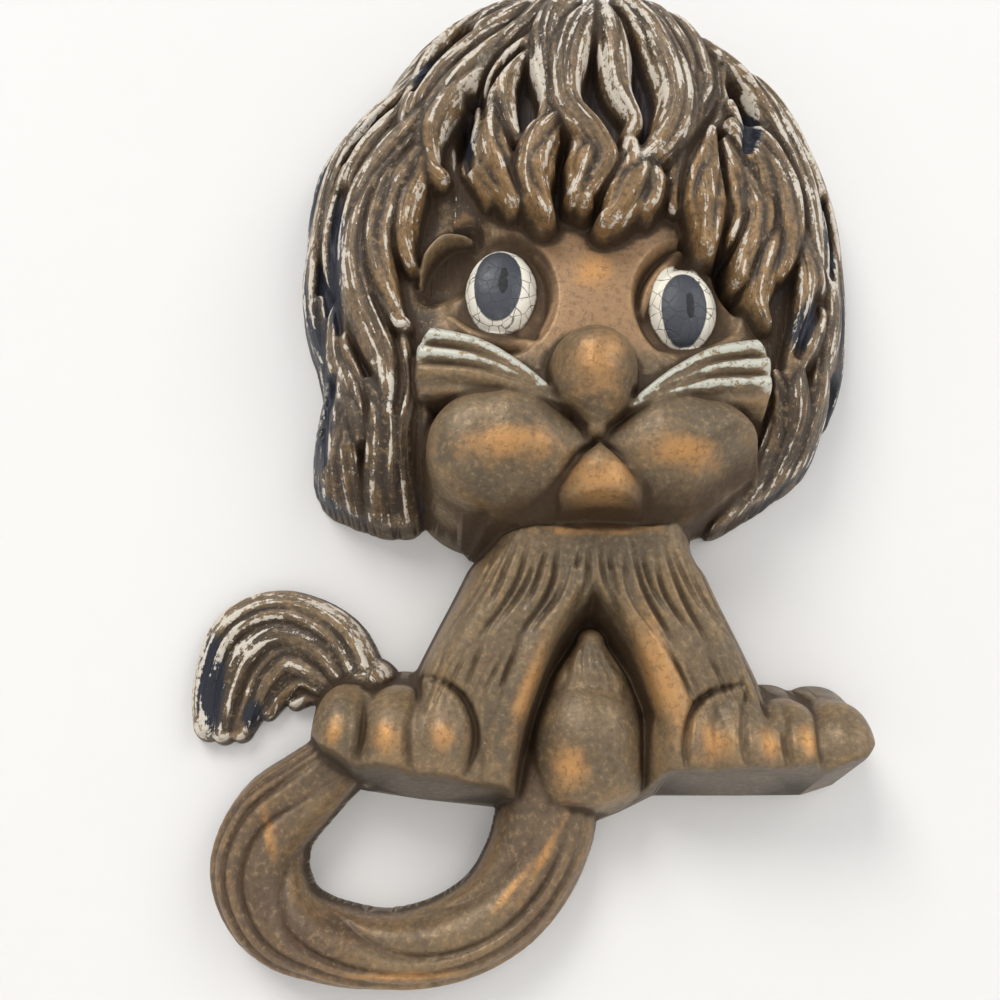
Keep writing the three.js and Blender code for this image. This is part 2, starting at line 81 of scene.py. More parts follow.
def smooth_line(points, pieces=6):
    """A Catmull-Rom line through the points."""
    p = np.array(points, float)
    padded = np.vstack([p[:1], p, p[-1:]])
    out = []
    for k in range(len(p) - 1):
        a, b, c, d = padded[k:k + 4]
        t = (np.arange(pieces) / pieces)[:, None]
        v0, v1 = (c - a) / 2, (d - b) / 2
        out.append((2 * b - 2 * c + v0 + v1) * t**3 + (3 * c - 3 * b - 2 * v0 - v1) * t**2 + v0 * t + b)
    return np.vstack(out + [p[-1:]])


def spread(values, share):
    """Evenly spaced values read at a share from 0 to 1."""
    values = np.atleast_1d(np.array(values, float))
    return np.interp(share, np.linspace(0, 1, len(values)), values)


def soft_max(a, b, width):
    if width == 0:
        return np.maximum(a, b)
    near = np.maximum(0, width - np.abs(a - b))
    return np.maximum(a, b) + near**2 / (4 * width)


def soft_min(a, b, width):
    return -soft_max(-a, -b, width)


class Sheet:
    """Heights over the wall and what each cell belongs to."""

    def __init__(self):
        self.xs = np.arange(SHEET_LOW[0], SHEET_HIGH[0], CELL)
        self.zs = np.arange(SHEET_LOW[1], SHEET_HIGH[1], CELL)
        self.x, self.z = np.meshgrid(self.xs, self.zs)
        self.height = np.full(self.x.shape, BELOW_WALL)
        self.owner = np.zeros(self.x.shape, np.int8)
        # How far along its strand each cell lies, and how far across it.
        self.run, self.side = self.z.copy(), self.x.copy()

    def window(self, line, reach):
        low, high = line.min(0) - reach, line.max(0) + reach
        i = np.searchsorted(self.xs, [low[0], high[0]])
        j = np.searchsorted(self.zs, [low[1], high[1]])
        return slice(j[0], j[1]), slice(i[0], i[1])

    def across(self, window, line):
        """The share along a line of each cell's nearest point, and the distance from it, left positive."""
        x, z = self.x[window], self.z[window]
        nearest = np.full(x.shape, 1e9)
        share, side = np.zeros(x.shape), np.ones(x.shape)
        steps = np.diff(line, axis=0)
        lengths = np.hypot(*steps.T)
        starts = np.concatenate([[0], np.cumsum(lengths)])
        for start, (px, pz), step, length in zip(starts, line, steps, lengths):
            if length == 0:
                continue
            ux, uz = step / length
            dx, dz = x - px, z - pz
            run = np.clip(dx * ux + dz * uz, 0, length)
            distance = np.hypot(dx - run * ux, dz - run * uz)
            nearer = distance < nearest
            nearest = np.where(nearer, distance, nearest)
            share = np.where(nearer, (start + run) / starts[-1], share)
            side = np.where(nearer, np.where(dx * uz - dz * ux > 0, -1, 1), side)
        return share, side * nearest

    def lay(self, window, height, owner, blend, run=None, side=None):
        """Lays a form over what is there, and marks the cells where it stands higher."""
        current = self.height[window]
        above = height > current
        self.owner[window] = np.where(above, owner, self.owner[window])
        self.run[window] = np.where(above, self.z[window] if run is None else run, self.run[window])
        self.side[window] = np.where(above, self.x[window] if side is None else side, self.side[window])
        self.height[window] = soft_max(current, height, blend)

    def stroke(self, owner, points, half, level, crest, power=2.0, blend=0.0, on=None, ribs=0, rib_depth=0.0,
               twist=0.0, rib_start=0.0, fine_ribs=0.0, under=None, fall=SIDE_SLOPE):
        """A long rounded swelling from a level up to its crest, with strands along it."""
        line = smooth_line(points)
        window = self.window(line, np.max(half) + EDGE_REACH)
        share, offset = self.across(window, line)
        width = spread(half, share)
        q = np.minimum(1, np.abs(offset) / width)
        low = spread(level, share)
        height = low + (spread(crest, share) - low) * (1 - q**power) ** (1 / power)
        height = height - fall * np.maximum(0, np.abs(offset) - width)
        if ribs:
            uneven = offset / width + 0.3 * np.sin(2.4 * offset / width + 9 * rib_start)
            uneven = uneven + 0.1 * np.sin(8 * share + 11 * rib_start)
            turns = ribs * 0.5 * (uneven + 1 + twist * share) + rib_start
            ends = np.clip(np.minimum(share, 1 - share) * 6, 0.25, 1)
            fine = fine_ribs * np.abs(np.sin(2.6 * np.pi * turns))
            height = height - ends * rib_depth * (1 - np.sqrt(np.abs(np.sin(np.pi * turns))) + fine)
        if on is not None:
            height = height + on[window]
        if under is not None:
            height = soft_min(height, under(self.x[window], self.z[window]), UNDER_BLEND)
        length = np.hypot(*np.diff(line, axis=0).T).sum()
        self.lay(window, height, owner, blend, share * length, offset + 31 * points[0][0] + 17 * points[0][1])

    def dome(self, owner, centre, radii, level, crest, power=2.0, blend=0.0, under=None):
        """A rounded swelling over an upright ellipse."""
        window = self.window(np.array([centre], float), max(radii) + EDGE_REACH)
        x, z = self.x[window], self.z[window]
        u, v = np.abs((x - centre[0]) / radii[0]), np.abs((z - centre[1]) / radii[1])
        r = (u**power + v**power)**(1 / power)
        height = level + (crest - level) * np.sqrt(np.maximum(0, 1 - r**2))
        height = height - SIDE_SLOPE * np.maximum(0, r - 1) * min(radii)
        if under is not None:
            height = soft_min(height, under(x, z), UNDER_BLEND)
        self.lay(window, height, owner, blend)

    def hollow(self, centre, radii, floor, turn=0.0, rim=0.35):
        """Presses the surface down to a floor inside an ellipse, with a soft rim."""
        window = self.window(np.array([centre], float), max(radii) * (1 + rim))
        x, z = self.x[window] - centre[0], self.z[window] - centre[1]
        u = x * math.cos(turn) + z * math.sin(turn)
        v = z * math.cos(turn) - x * math.sin(turn)
        press = np.clip((1 + rim - np.hypot(u / radii[0], v / radii[1])) / rim, 0, 1)
        press = press**2 * (3 - 2 * press)
        current = self.height[window]
        self.height[window] = np.where(current > floor, current + (floor - current) * press, current)

    def groove(self, points, half, depth):
        """Cuts a rounded groove along a line."""
        line = smooth_line(points)
        window = self.window(line, 3 * np.max(half))
        share, offset = self.across(window, line)
        cut = spread(depth, share) * np.exp(-((offset / spread(half, share))**2))
        self.height[window] -= np.where(self.height[window] > 0, cut, 0)

    def slab(self, owner, outline, rim, top, reach, power=2.2, blend=0.0, under=None):
        """A slab inside a closed outline that rises from its rim to a flat top over a given reach."""
        line = smooth_line(list(outline) + [outline[0]], 4)
        window = self.window(line, EDGE_REACH)
        offset = np.abs(self.across(window, line)[1])
        x, z = self.x[window], self.z[window]
        inside = np.zeros(x.shape, bool)
        for (ax, az), (bx, bz) in zip(line[:-1], line[1:]):
            if az != bz:
                inside ^= ((az > z) != (bz > z)) & (x < ax + (z - az) * (bx - ax) / (bz - az))
        depth = np.where(inside, offset, -offset)
        rise = np.clip(depth / reach, 0, 1)
        height = rim + (top - rim) * (1 - (1 - rise)**power) - SIDE_SLOPE * np.maximum(0, -depth)
        if under is not None:
            height = soft_min(height, under(x, z), UNDER_BLEND)
        self.lay(window, height, owner, blend)


# The tail: a grooved band that leaves the belly, curls into a ring and ends in a tuft beside the left paw.
RING_LINE = [(-78, 82), (-97, 65), (-110, 51), (-112, 35), (-101, 20), (-81, 13.8), (-60, 13.3), (-42, 18),
             (-27, 28), (-17, 43), (-12, 60), (-10, 72)]
RING_HALF = [11, 12.5, 15.5, 16.5, 15, 12.5, 12, 13, 14.5, 16.5, 18, 17]
TUFT_STRANDS = [
    ([(-78, 96), (-92, 118), (-114, 127), (-132, 119), (-138, 100), (-137, 84)], [8, 9, 8, 8, 7, 5]),
    ([(-78, 92), (-93, 110), (-112, 118), (-125, 110), (-130, 96), (-131, 82)], [8, 9, 9, 8, 7, 4]),
    ([(-80, 90), (-94, 104), (-109, 110), (-118, 103), (-122, 93), (-125, 83)], [8, 8, 8, 8, 7, 4]),
    ([(-80, 88), (-92, 99), (-104, 104), (-112, 98), (-116, 90)], [7, 7, 7, 7, 3]),
    ([(-82, 88), (-92, 96), (-100, 98), (-106, 94)], [6, 6, 6, 3]),
]


def draw_tail(sheet):
    sheet.stroke(TUFT, [(-80, 98), (-84, 86), (-76, 76)], [13, 12, 12], 3, 19, ribs=3, rib_depth=1.2)
    for number, (line, half) in enumerate(TUFT_STRANDS):
        crest = np.linspace(18, 9, len(line)) - number
        sheet.stroke(TUFT, line, half, 3, crest, power=2.4, ribs=2, rib_depth=2.0, fine_ribs=0.15,
                     twist=0.3 * math.sin(2 * number), rib_start=0.4 * number)
    sheet.stroke(RING, RING_LINE, RING_HALF, 2, 21, power=2.4, ribs=5, rib_depth=3.8, twist=1.6,
                 rib_start=0.25)


# The two front legs, from the collar down to the paws: rows of z and distance from the face's axis.
LEG_Z = [57, 67, 88, 101, 118, 133, 158]
LEG_INSIDE = [25, 24.5, 22, 17, 9.5, 0, 0]
LEG_OUTSIDE = [72, 71, 68, 65, 58, 51, 40]
RECESS_Z = [57, 67, 88, 101, 116, 126, 158]
RECESS_HALF = [24, 23.5, 21, 16.5, 8, 0, -34]
LEG_TOP = 33
LEG_LINES = 10  # on each leg, each cut in two lengths
LEG_CUTS = [(153, 112), (116, 72)]  # from and to which height
ROLL_Z = (140, 128, 116, 101, 84, 66)  # of the rounded inner edge
COLLAR_X = [-46, -36, -20, 0, 22, 35, 46, 60]
COLLAR_Z = [148, 152.5, 156.5, 158, 158, 159.5, 167, 178]


def above_collar(x, z):
    return z - np.interp(x, COLLAR_X, COLLAR_Z)


def on_leg(side, share, z):
    inside, outside = np.interp(z, LEG_Z, LEG_INSIDE), np.interp(z, LEG_Z, LEG_OUTSIDE)
    return FACE_AXIS + side * (inside + (outside - inside) * share), z


def draw_legs(sheet):
    left = [on_leg(-1, 1, z) for z in (158, 145, 133, 118, 101, 80, 57)]
    right = [on_leg(1, 1, z) for z in (57, 80, 101, 118, 133, 145, 158)]
    sheet.slab(LEG, [(-40, 200)] + left + right + [(42, 200)], 3, LEG_TOP, 15, power=2.3)
    for side in (-1, 1):
        for k in range(LEG_LINES):
            start = 0.09 + 0.86 * k / LEG_LINES
            for number, (top, foot) in enumerate(LEG_CUTS):
                rows = np.linspace(top - 3 * ((k + number) % 3), foot + 7 * ((2 * k + number) % 3), 6)
                share = start + 0.02 * np.sin(0.1 * rows + 1.9 * k + side)
                share = share - 0.0018 * np.maximum(0, rows - 118)
                line = [on_leg(side, part, z) for part, z in zip(share + 0.035 * number, rows)]
                sheet.groove(line, [0.5, 0.7, 0.8, 0.7, 0.5], [0.6, 2.6, 2.9, 2.4, 0.6])
    sheet.height = np.minimum(sheet.height, LEG_TOP - 0.09 * np.maximum(0, 112 - sheet.z))
    recess_half = np.interp(sheet.z, RECESS_Z, RECESS_HALF)
    floor = 12 + 1.9 * np.maximum(0, np.abs(sheet.x - FACE_AXIS) - recess_half)
    recessed = (sheet.z > 56) & (sheet.z < 182)
    sheet.owner[recessed & (floor < sheet.height - 4)] = RECESS
    sheet.height = np.where(recessed, soft_min(sheet.height, floor, 8), sheet.height)
    for side in (-1, 1):
        roll = [(FACE_AXIS + side * (np.interp(z, LEG_Z, LEG_INSIDE) + 8), z) for z in ROLL_Z]
        sheet.stroke(LEG, roll, [3, 4, 5, 6, 6, 5], 26, [33, 34, 34.5, 34, 32, 30], blend=6)
    sheet.height = np.minimum(sheet.height, LEG_TOP + 3 - 14 * above_collar(sheet.x, sheet.z))


def draw_belly(sheet):
    sheet.stroke(BELLY, [(FACE_AXIS, 117), (FACE_AXIS, 108), (FACE_AXIS, 94)], [6, 14, 19], 12, [22, 25, 25],
                 power=2.4, ribs=5, rib_depth=1.3)
    sheet.dome(BELLY, (1, 81), (21, 27), 10, 32, power=2.2)


def draw_paw(sheet, centre, width, toes, creases, edge):
    """A paw with its toes, the creases between them as (x, lean), and the line where the leg ends."""
    sheet.dome(PAW, (centre, 79), (width / 2, 21), 6, 35, power=2.7, blend=3)
    toe = (width - 4) / toes
    for k in range(toes):
        across = k - (toes - 1) / 2
        sheet.dome(PAW, (centre + across * toe, 80), (toe * 0.72, 20), 16, 38.5 - 1.3 * across**2, power=2.4,
                   blend=6)
    for x, lean in creases:
        crease = [(x + 0.6 * lean, 100), (x, 92), (x - 0.3 * lean, 82), (x + 0.5 * lean, 70)]
        sheet.groove(crease, [1, 1.3, 1.5], [1.2, 2.6, 2.4])
    sheet.groove(edge, [0.9, 1.1, 1.2, 1.0], [1.5, 3.4, 3.4, 2.0])


LEDGE_X = [-96, -90, -80, -58, -29, -14, 4, 14, 26, 57, 80, 92, 101]
LEDGE_Z = [78, 70, 64.5, 62, 60, 57, 56, 60, 66, 67, 68, 72, 82]


def draw_body():
    tail = Sheet()
    draw_tail(tail)
    sheet = Sheet()
    draw_legs(sheet)
    draw_belly(sheet)
    draw_paw(sheet, -66, 56, 3, [(-77, -3), (-60, 2)],
             [(-58, 103), (-47, 99), (-41, 92), (-38.5, 82), (-41, 71)])
    draw_paw(sheet, 60, 76, 4, [(51, 4), (65, 4), (77, 5)],
             [(52, 103), (41, 100), (34, 93), (31, 83), (32, 72)])
    ledge = 3 + 3.6 * (sheet.z - np.interp(sheet.x, LEDGE_X, LEDGE_Z))
    sheet.owner[(ledge < sheet.height) & (sheet.owner != BELLY)] = LEDGE
    sheet.height = np.where(ledge < sheet.height + 3, soft_min(sheet.height, ledge, 3), sheet.height)
    join(sheet, tail)
    return sheet


def join(sheet, other):
    """Lays a second sheet over the first, wherever it stands higher."""
    above = other.height > sheet.height
    for name in ("owner", "run", "side", "height"):
        setattr(sheet, name, np.where(above, getattr(other, name), getattr(sheet, name)))


# The head without its locks: the mane's bulk, the face, the jaw and the crown.
MANE_OUTLINE = [
    (-1, 412), (-27, 410), (-50, 403), (-70, 388), (-84, 371), (-94, 352), (-110, 330), (-118, 308),
    (-119, 264), (-110, 230), (-105, 214), (-107, 196), (-105, 174), (-88, 164), (-70, 161), (-56, 167),
    (0, 180), (30, 172), (40, 164), (50, 165), (66, 175), (79, 184), (91, 194), (98, 208), (104, 226),
    (108, 253), (109, 282), (107, 302), (102, 323), (94, 345), (82, 364), (66, 376), (57, 382), (52, 394),
    (30, 408),
]
JAW_OUTLINE = [
    (-62, 214), (-60, 198), (-56, 181), (-51, 168), (-45, 156), (-40, 150), (0, 150), (31, 157), (40, 164),
    (50, 174), (57, 186), (62, 200), (64, 214), (0, 228),
]


def neck_front(x, z):
    """How far the neck stands off the wall: it comes forward from behind the collar up to the chin."""
    rise = above_collar(x, z)
    return 28 + 1.3 * np.maximum(0, rise) - 8 * np.maximum(0, -rise)


def chin_front(x, z):
    """The chin stands out right above the collar."""
    return 29 + 4.5 * above_collar(x, z)


def draw_head_mass(sheet):
    sheet.slab(MANE, MANE_OUTLINE, 6, 35, 44, power=2.7)
    sheet.slab(FACE, JAW_OUTLINE, 5, 42, 20, power=2.2, blend=4, under=neck_front)
    sheet.dome(FACE, (0, 226), (71, 76), 26, 43, blend=6, under=neck_front)
    sheet.dome(MANE, (-6, 326), (74, 66), 28, 46, blend=8)


# Centre and radii of each eye and its iris, the left one first.
EYES = {-1: ((-35.5, 248.8), (13.7, 18.5)), 1: ((34.8, 244), (13, 17.6))}
IRISES = {-1: ((-36.7, 249.5), (9.2, 15.5)), 1: ((34.2, 241.8), (8.6, 15))}

LOWER_LIDS = [
    [(-54, 236), (-46, 229), (-34, 226), (-22, 224)],
    [(53, 232), (44, 225), (33, 222), (22, 221)],
]

# The folds round the eyes: (line, half widths, level, crest, blend).
EYE_FOLDS = [
    ([(-67, 250), (-65, 261), (-58, 270), (-48, 272)], [0.5, 1.8, 2, 0.5], 33, [36, 41, 41, 37], 3),
    ([(-23, 264), (-17, 254), (-16, 240), (-20, 230)], [0.8, 1.6, 1.8, 1], 34, [38, 40, 40, 38], 0),
    ([(33, 266), (29, 262), (22, 252), (18, 240)], [2.5, 2.8, 2.4, 1.5], 35, [39.5, 40, 39.5, 38], 2),
]


def draw_eyes(sheet):
    for side in (-1, 1):
        sheet.hollow((side * 36, 246), (18, 23), 34, turn=-side * 0.14, rim=0.25)
    sheet.hollow((-55, 260), (7.5, 13.5), 30, turn=-0.55, rim=0.75)
    sheet.hollow((57, 256), (7, 13), 24, turn=0.35)
    sheet.hollow((46, 268), (10, 6), 28, turn=-0.4)
    for side, (centre, radii) in EYES.items():
        sheet.dome(EYE, centre, radii, 33, 42)
    # The lower lids run under the eyes towards the nose, and thin folds stand beside and over the eyes.
    for line in LOWER_LIDS:
        sheet.stroke(FACE, line, [2, 4, 5, 4], 30, [37, 39, 40, 41], blend=3)
    for line, half, level, crest, blend in EYE_FOLDS:
        sheet.stroke(FACE, line, half, level, crest, blend=blend)


def draw_muzzle(sheet):
    for side in (-1, 1):
        sheet.dome(FACE, (side * 24, 172), (22, 16), 30, 48, blend=8, under=neck_front)
    for side in (-1, 1):
        line = [(side * 4, 185), (side * 13, 184), (side * 23, 183.5), (side * 32, 182.5), (side * 39, 182)]
        sheet.stroke(MUZZLE, line, [3, 12.5, 19.5, 22, 21.5], [45, 43, 40, 38, 36], [47, 52, 56, 57, 56],
                     blend=6, power=2.6, under=neck_front)
        edge = [(3, 188), (12, 195.5), (26, 203.5), (42, 205.5), (55, 200), (61, 190), (61, 180)]
        sheet.groove([(side * x, z) for x, z in edge], [0.8, 1.0, 1.1, 1.2, 1.4], [0.8, 1.8, 2.0, 1.6, 0.4])
    sheet.stroke(MUZZLE, [(1, 183), (1, 177), (1.5, 171), (2, 168)], [1, 9, 14, 16], 38, [50, 55, 57, 56],
                 blend=5, power=1.8, under=chin_front)
    for side in (-1, 1):
        lip = [(1 + side, 184), (side * 7 + 1, 176), (side * 13 + 2, 169)]
        sheet.groove(lip, [0.6, 0.8, 1.2], [1.0, 1.6, 0.8])


def whisker_end(x, z):
    """The whiskers stop in a cliff beside the cheek, rounded above and slanting in below."""
    reach = 62 - 0.3 * np.maximum(0, 206 - z) - 0.6 * np.maximum(0, z - 218)
    return 60 - 6 * np.maximum(0, np.abs(x + 1) - reach)


def draw_whiskers(sheet):
    for side in (-1, 1):
        pad = [(side * 11, 196), (side * 30, 204.5), (side * 47, 210.5), (side * 64, 212)]
        sheet.stroke(PAD, pad, [1.5, 7, 11, 13], [48, 46, 44, 42], [50, 50, 49, 48], power=5,
                     under=whisker_end)
        for rise, owner in ((11, WHISKER), (3.2, WHISKER), (-4.3, PAD if side < 0 else WHISKER)):
            line = [(12, 196.5 + 0.12 * rise), (28, 204.5 + 0.5 * rise), (44, 210 + 0.8 * rise),
                    (65, 212 + rise)]
            line = [(side * x, z) for x, z in line]
            sheet.stroke(owner, line, [1, 2.4, 3.2, 3.6], [49, 48.5, 47.5, 46.5], [52, 52.5, 52, 51],
                         under=whisker_end)


def draw_nose(sheet):
    sheet.stroke(NOSE, [(0, 189), (0, 196), (-1, 203), (-1, 211)], [5, 13, 16.3, 16.5], 42,
                 [52, 62, 66.5, NOSE_REACH], blend=2)
    sheet.groove([(0, 199), (0, 192)], [0.9, 0.9], [0.8, 0.8])


# Locks of the mane: (line, half widths, lift off the head). The sides come first, then the crown from the
# back to the front.
SIDE_LOCKS = [
    ([(-62, 392), (-80, 374), (-92, 352), (-96, 338)], [6, 9, 8, 3], 2),
    ([(-76, 366), (-98, 344), (-113, 322), (-118, 298), (-116, 276)], [5, 8, 8, 6, 2], 2),
    ([(-74, 352), (-92, 334), (-107, 308), (-112, 282), (-115, 258), (-112, 238), (-102, 218)],
     [5, 8, 7, 6, 5, 5, 2], 6),
    ([(-66, 340), (-84, 324), (-98, 302), (-104, 280), (-102, 260), (-94, 240)], [5, 8, 8, 7, 6, 2], 7),
    ([(-62, 330), (-80, 308), (-91, 286), (-94, 262), (-89, 240), (-78, 216), (-74, 192)],
     [5, 9, 9, 9, 8, 7, 2], 9),
    ([(-68, 306), (-80, 288), (-84, 266), (-80, 246), (-74, 232), (-66, 226)], [5, 8, 8, 7, 6, 2], 10),
    ([(-68, 300), (-73, 282), (-74, 266), (-68, 248)], [4, 6, 6, 2], 12),
    ([(-110, 250), (-106, 228), (-101, 206), (-104, 186), (-103, 170)], [4, 6, 7, 7, 3], 1),
    ([(-98, 246), (-99, 226), (-91, 206), (-84, 180)], [5, 8, 8, 4], 4),
    ([(-101, 226), (-101, 208), (-97, 186), (-98, 150)], [5, 8, 8, 8], 3),
    ([(-92, 204), (-93, 186), (-88, 148)], [5, 8, 8], 3),
    ([(-84, 208), (-78, 200), (-76, 186), (-77, 172), (-80, 142)], [4, 7, 8, 8, 8], 5),
    ([(-72, 226), (-68, 204), (-70, 184), (-67, 144)], [3, 6, 7, 8], 4),
    ([(-64, 214), (-62, 192), (-60, 176), (-57, 150)], [3, 5, 6, 6], 2),
    ([(54, 392), (76, 372), (94, 344), (104, 312), (107, 280)], [4, 8, 8, 7, 3], 2),
    ([(50, 376), (70, 362), (88, 336), (99, 308), (103, 282), (104, 256)], [5, 8, 8, 7, 6, 2], 6),
    ([(46, 364), (66, 344), (80, 316), (87, 290), (88, 266), (84, 250)], [5, 9, 9, 8, 6, 2], 9),
    ([(56, 330), (68, 312), (75, 290), (74, 268), (67, 250)], [5, 8, 9, 8, 3], 10),
    ([(106, 304), (105, 280), (105, 250), (100, 222), (91, 200)], [3, 6, 6, 6, 3], 2),
    ([(94, 292), (96, 266), (96, 244), (90, 222), (84, 206)], [4, 7, 7, 7, 3], 5),
    ([(82, 276), (85, 258), (83, 238), (76, 222), (69, 208)], [4, 7, 8, 7, 2], 8),
    ([(90, 236), (89, 214), (85, 200), (79, 172)], [4, 8, 8, 7], 4),
    ([(76, 224), (77, 204), (74, 188), (64, 160)], [4, 8, 8, 7], 6),
    ([(68, 216), (71, 197), (65, 179), (50, 156)], [3, 7, 8, 7], 5),
    ([(62, 183), (54, 173), (44, 166)], [4, 5, 3], 4),
    ([(54, 320), (64, 308), (67, 288), (62, 266)], [4, 7, 7, 2], 12),
    ([(60, 300), (64, 280), (58, 262), (54, 246)], [3, 7, 6, 2], 13),
    ([(72, 282), (66, 262), (62, 246), (66, 228)], [3, 7, 6, 2], 11),
]

CROWN_LOCKS = [
    ([(-44, 400), (-66, 385), (-82, 364), (-88, 346)], [5, 9, 8, 4], 4),
    ([(-36, 394), (-56, 376), (-70, 357), (-77, 338)], [5, 9, 9, 5], 6),
    ([(-24, 402), (-40, 386), (-52, 368), (-60, 352)], [5, 9, 9, 4], 6),
    ([(-12, 404), (-20, 382), (-32, 362), (-40, 345)], [6, 9, 8, 4], 5),
    ([(34, 402), (48, 380), (54, 356), (52, 330), (44, 314)], [5, 8, 9, 8, 3], 3),
    ([(22, 400), (36, 378), (43, 356), (45, 338), (35, 316), (31, 290), (31, 276)], [6, 9, 9, 8, 8, 7, 3], 5),
    ([(14, 398), (26, 374), (36, 348), (38, 327), (33, 307), (27, 286)], [5, 9, 9, 8, 6, 2], 7),
    ([(-30, 382), (-56, 354), (-73, 330), (-77, 306), (-70, 286)], [4, 8, 9, 8, 2], 8),
    ([(-30, 368), (-53, 340), (-67, 316), (-66, 299), (-55, 288)], [3, 7, 9, 9, 3], 10),
    ([(-47, 326), (-47, 304), (-43, 289), (-39, 276)], [2, 6, 7, 3], (6, 10)),
    ([(-26, 374), (-46, 346), (-53, 331), (-42, 317)], [3, 5, 5, 2], 10),
    ([(-42, 328), (-42, 308), (-38, 291), (-28, 273)], [3, 7, 9, 4], (8, 16)),
    ([(-22, 364), (-38, 336), (-36, 317), (-27, 299)], [3, 7, 7, 2], 9),
    ([(-8, 394), (-19, 364), (-21, 342), (-18, 322), (-27, 298)], [4, 8, 8, 6, 2], 11),
    ([(-10, 322), (-22, 306), (-25, 287), (-17, 266)], [3, 8, 9, 4], (10, 20)),
    ([(-8, 318), (-4, 302), (-7, 286), (-12, 273)], [3, 7, 8, 3], (9, 20)),
    ([(-2, 378), (-12, 347), (-13, 322), (-3, 306), (2, 294), (-5, 282), (-5, 272)],
     [4, 9, 9, 7, 7, 7, 3], (11, 18)),
    ([(0, 386), (6, 353), (8, 331), (14, 317), (10, 302)], [4, 8, 8, 6, 2], 11),
    ([(13, 306), (13, 289), (7, 275), (-2, 265)], [4, 9, 9, 4], (10, 19)),
    ([(18, 304), (21, 288), (16, 271)], [3, 7, 4], (8, 15)),
    ([(10, 390), (24, 358), (32, 329), (27, 308), (7, 288)], [4, 9, 10, 9, 2], 13),
    ([(46, 318), (42, 298), (43, 278), (42, 258)], [3, 8, 10, 4], (8, 14)),
    ([(52, 314), (57, 297), (56, 280), (50, 264)], [3, 6, 6, 2], (7, 11)),
]

# Deep gaps between the locks: (line, half width, depth).
MANE_GAPS = [
    ([(-50, 328), (-52, 312), (-50, 296)], 3.0, 12),
    ([(-54, 364), (-66, 350), (-74, 334)], 3.2, 9),
    ([(57, 342), (62, 326), (60, 310)], 4.0, 9),
    ([(-101, 292), (-103, 270), (-101, 250), (-97, 232)], 3.0, 7),
    ([(88, 250), (82, 238), (76, 224)], 3.2, 8),
    ([(97, 302), (98, 284), (95, 262)], 2.0, 7),
    ([(-84, 332), (-94, 320), (-101, 306)], 2.4, 7),
    ([(98, 222), (97, 206), (92, 194)], 2.2, 6),
    ([(-100, 216), (-101, 198), (-99, 180)], 2.2, 6),
    ([(-31, 350), (-44, 330), (-45, 316)], 1.6, 6),
]
TIP_INSET = 8.0  # how far a lock's last point is drawn back
TIP_WIDTH = 0.42  # of the lock's widest place
LOCK_FALL = 6


def draw_lock(sheet, on, line, half, lift, number):
    """One lock: ribbed, and blunt at the tip, which is drawn back by what its own side adds to it."""
    widest = max(half)
    half = np.array(half, float)
    half[-1] = max(half[-1], TIP_WIDTH * widest)
    lift = np.linspace(*lift, len(line)) if isinstance(lift, tuple) else lift
    end, before = np.array(line[-1], float), np.array(line[-2], float)
    inset = min(0.7, TIP_INSET / np.hypot(*(end - before)))
    line = list(line[:-1]) + [tuple(end + (before - end) * inset)]
    sheet.stroke(MANE, line, half - 0.4, 0.6 * lift, 0.6 * lift + 0.8 * half + 1, on=on, fall=LOCK_FALL,
                 power=1.5 + 0.4 * (number % 3), ribs=4 if widest > 6 else 3, rib_depth=0.22 * widest,
                 twist=0.9 * math.sin(2.1 * number), rib_start=0.37 * math.sin(number), fine_ribs=0.12)


def draw_mane(sheet, on):
    for number, (line, half, lift) in enumerate(SIDE_LOCKS + CROWN_LOCKS):
        draw_lock(sheet, on, line, half, lift, number)
    for line, half, depth in MANE_GAPS:
        sheet.groove(line, [half, half, 0.6 * half], [depth, depth, 0.6 * depth])


def draw_figure():
    sheet = Sheet()
    draw_head_mass(sheet)
    bare = sheet.height.copy()
    draw_eyes(sheet)
    draw_muzzle(sheet)
    draw_whiskers(sheet)
    draw_nose(sheet)
    draw_mane(sheet, bare)
    join(sheet, draw_body())
    sheet.height = np.where(sheet.height > 1, blend_cells(sheet.height), sheet.height)
    return sheet


def blend_cells(values):
    """Each cell with a share of its neighbours, so that narrow lines stay whole between the cells."""
    out = values
    for axis in (0, 1):
        out = 0.5 * out + 0.25 * (np.roll(out, 1, axis) + np.roll(out, -1, axis))
    return out


def blur(values, radius):
    """Two passes of a box blur in each direction."""
    n = max(1, round(radius / CELL))
    out = values.astype(float)
    for _ in range(2):
        for axis in (0, 1):
            pad = [(n, n) if k == axis else (0, 0) for k in (0, 1)]
            padded = np.pad(out, pad, mode="edge")
            total = np.cumsum(padded, axis=axis)
            total = np.concatenate([np.zeros_like(np.take(total, [0], axis)), total], axis)
            size = out.shape[axis]
            ahead = np.take(total, np.arange(2 * n + 1, 2 * n + 1 + size), axis)
            behind = np.take(total, np.arange(size), axis)
            out = (ahead - behind) / (2 * n + 1)
    return out


def widen(mask, radius):
    """A mask as soft values from 0 to 1."""
    return blur(mask.astype(float), radius)


def ramp(values, start, end):
    """Goes from 0 to 1 while the values go from start to end, up or down."""
    return np.clip((values - start) / (end - start), 0, 1)


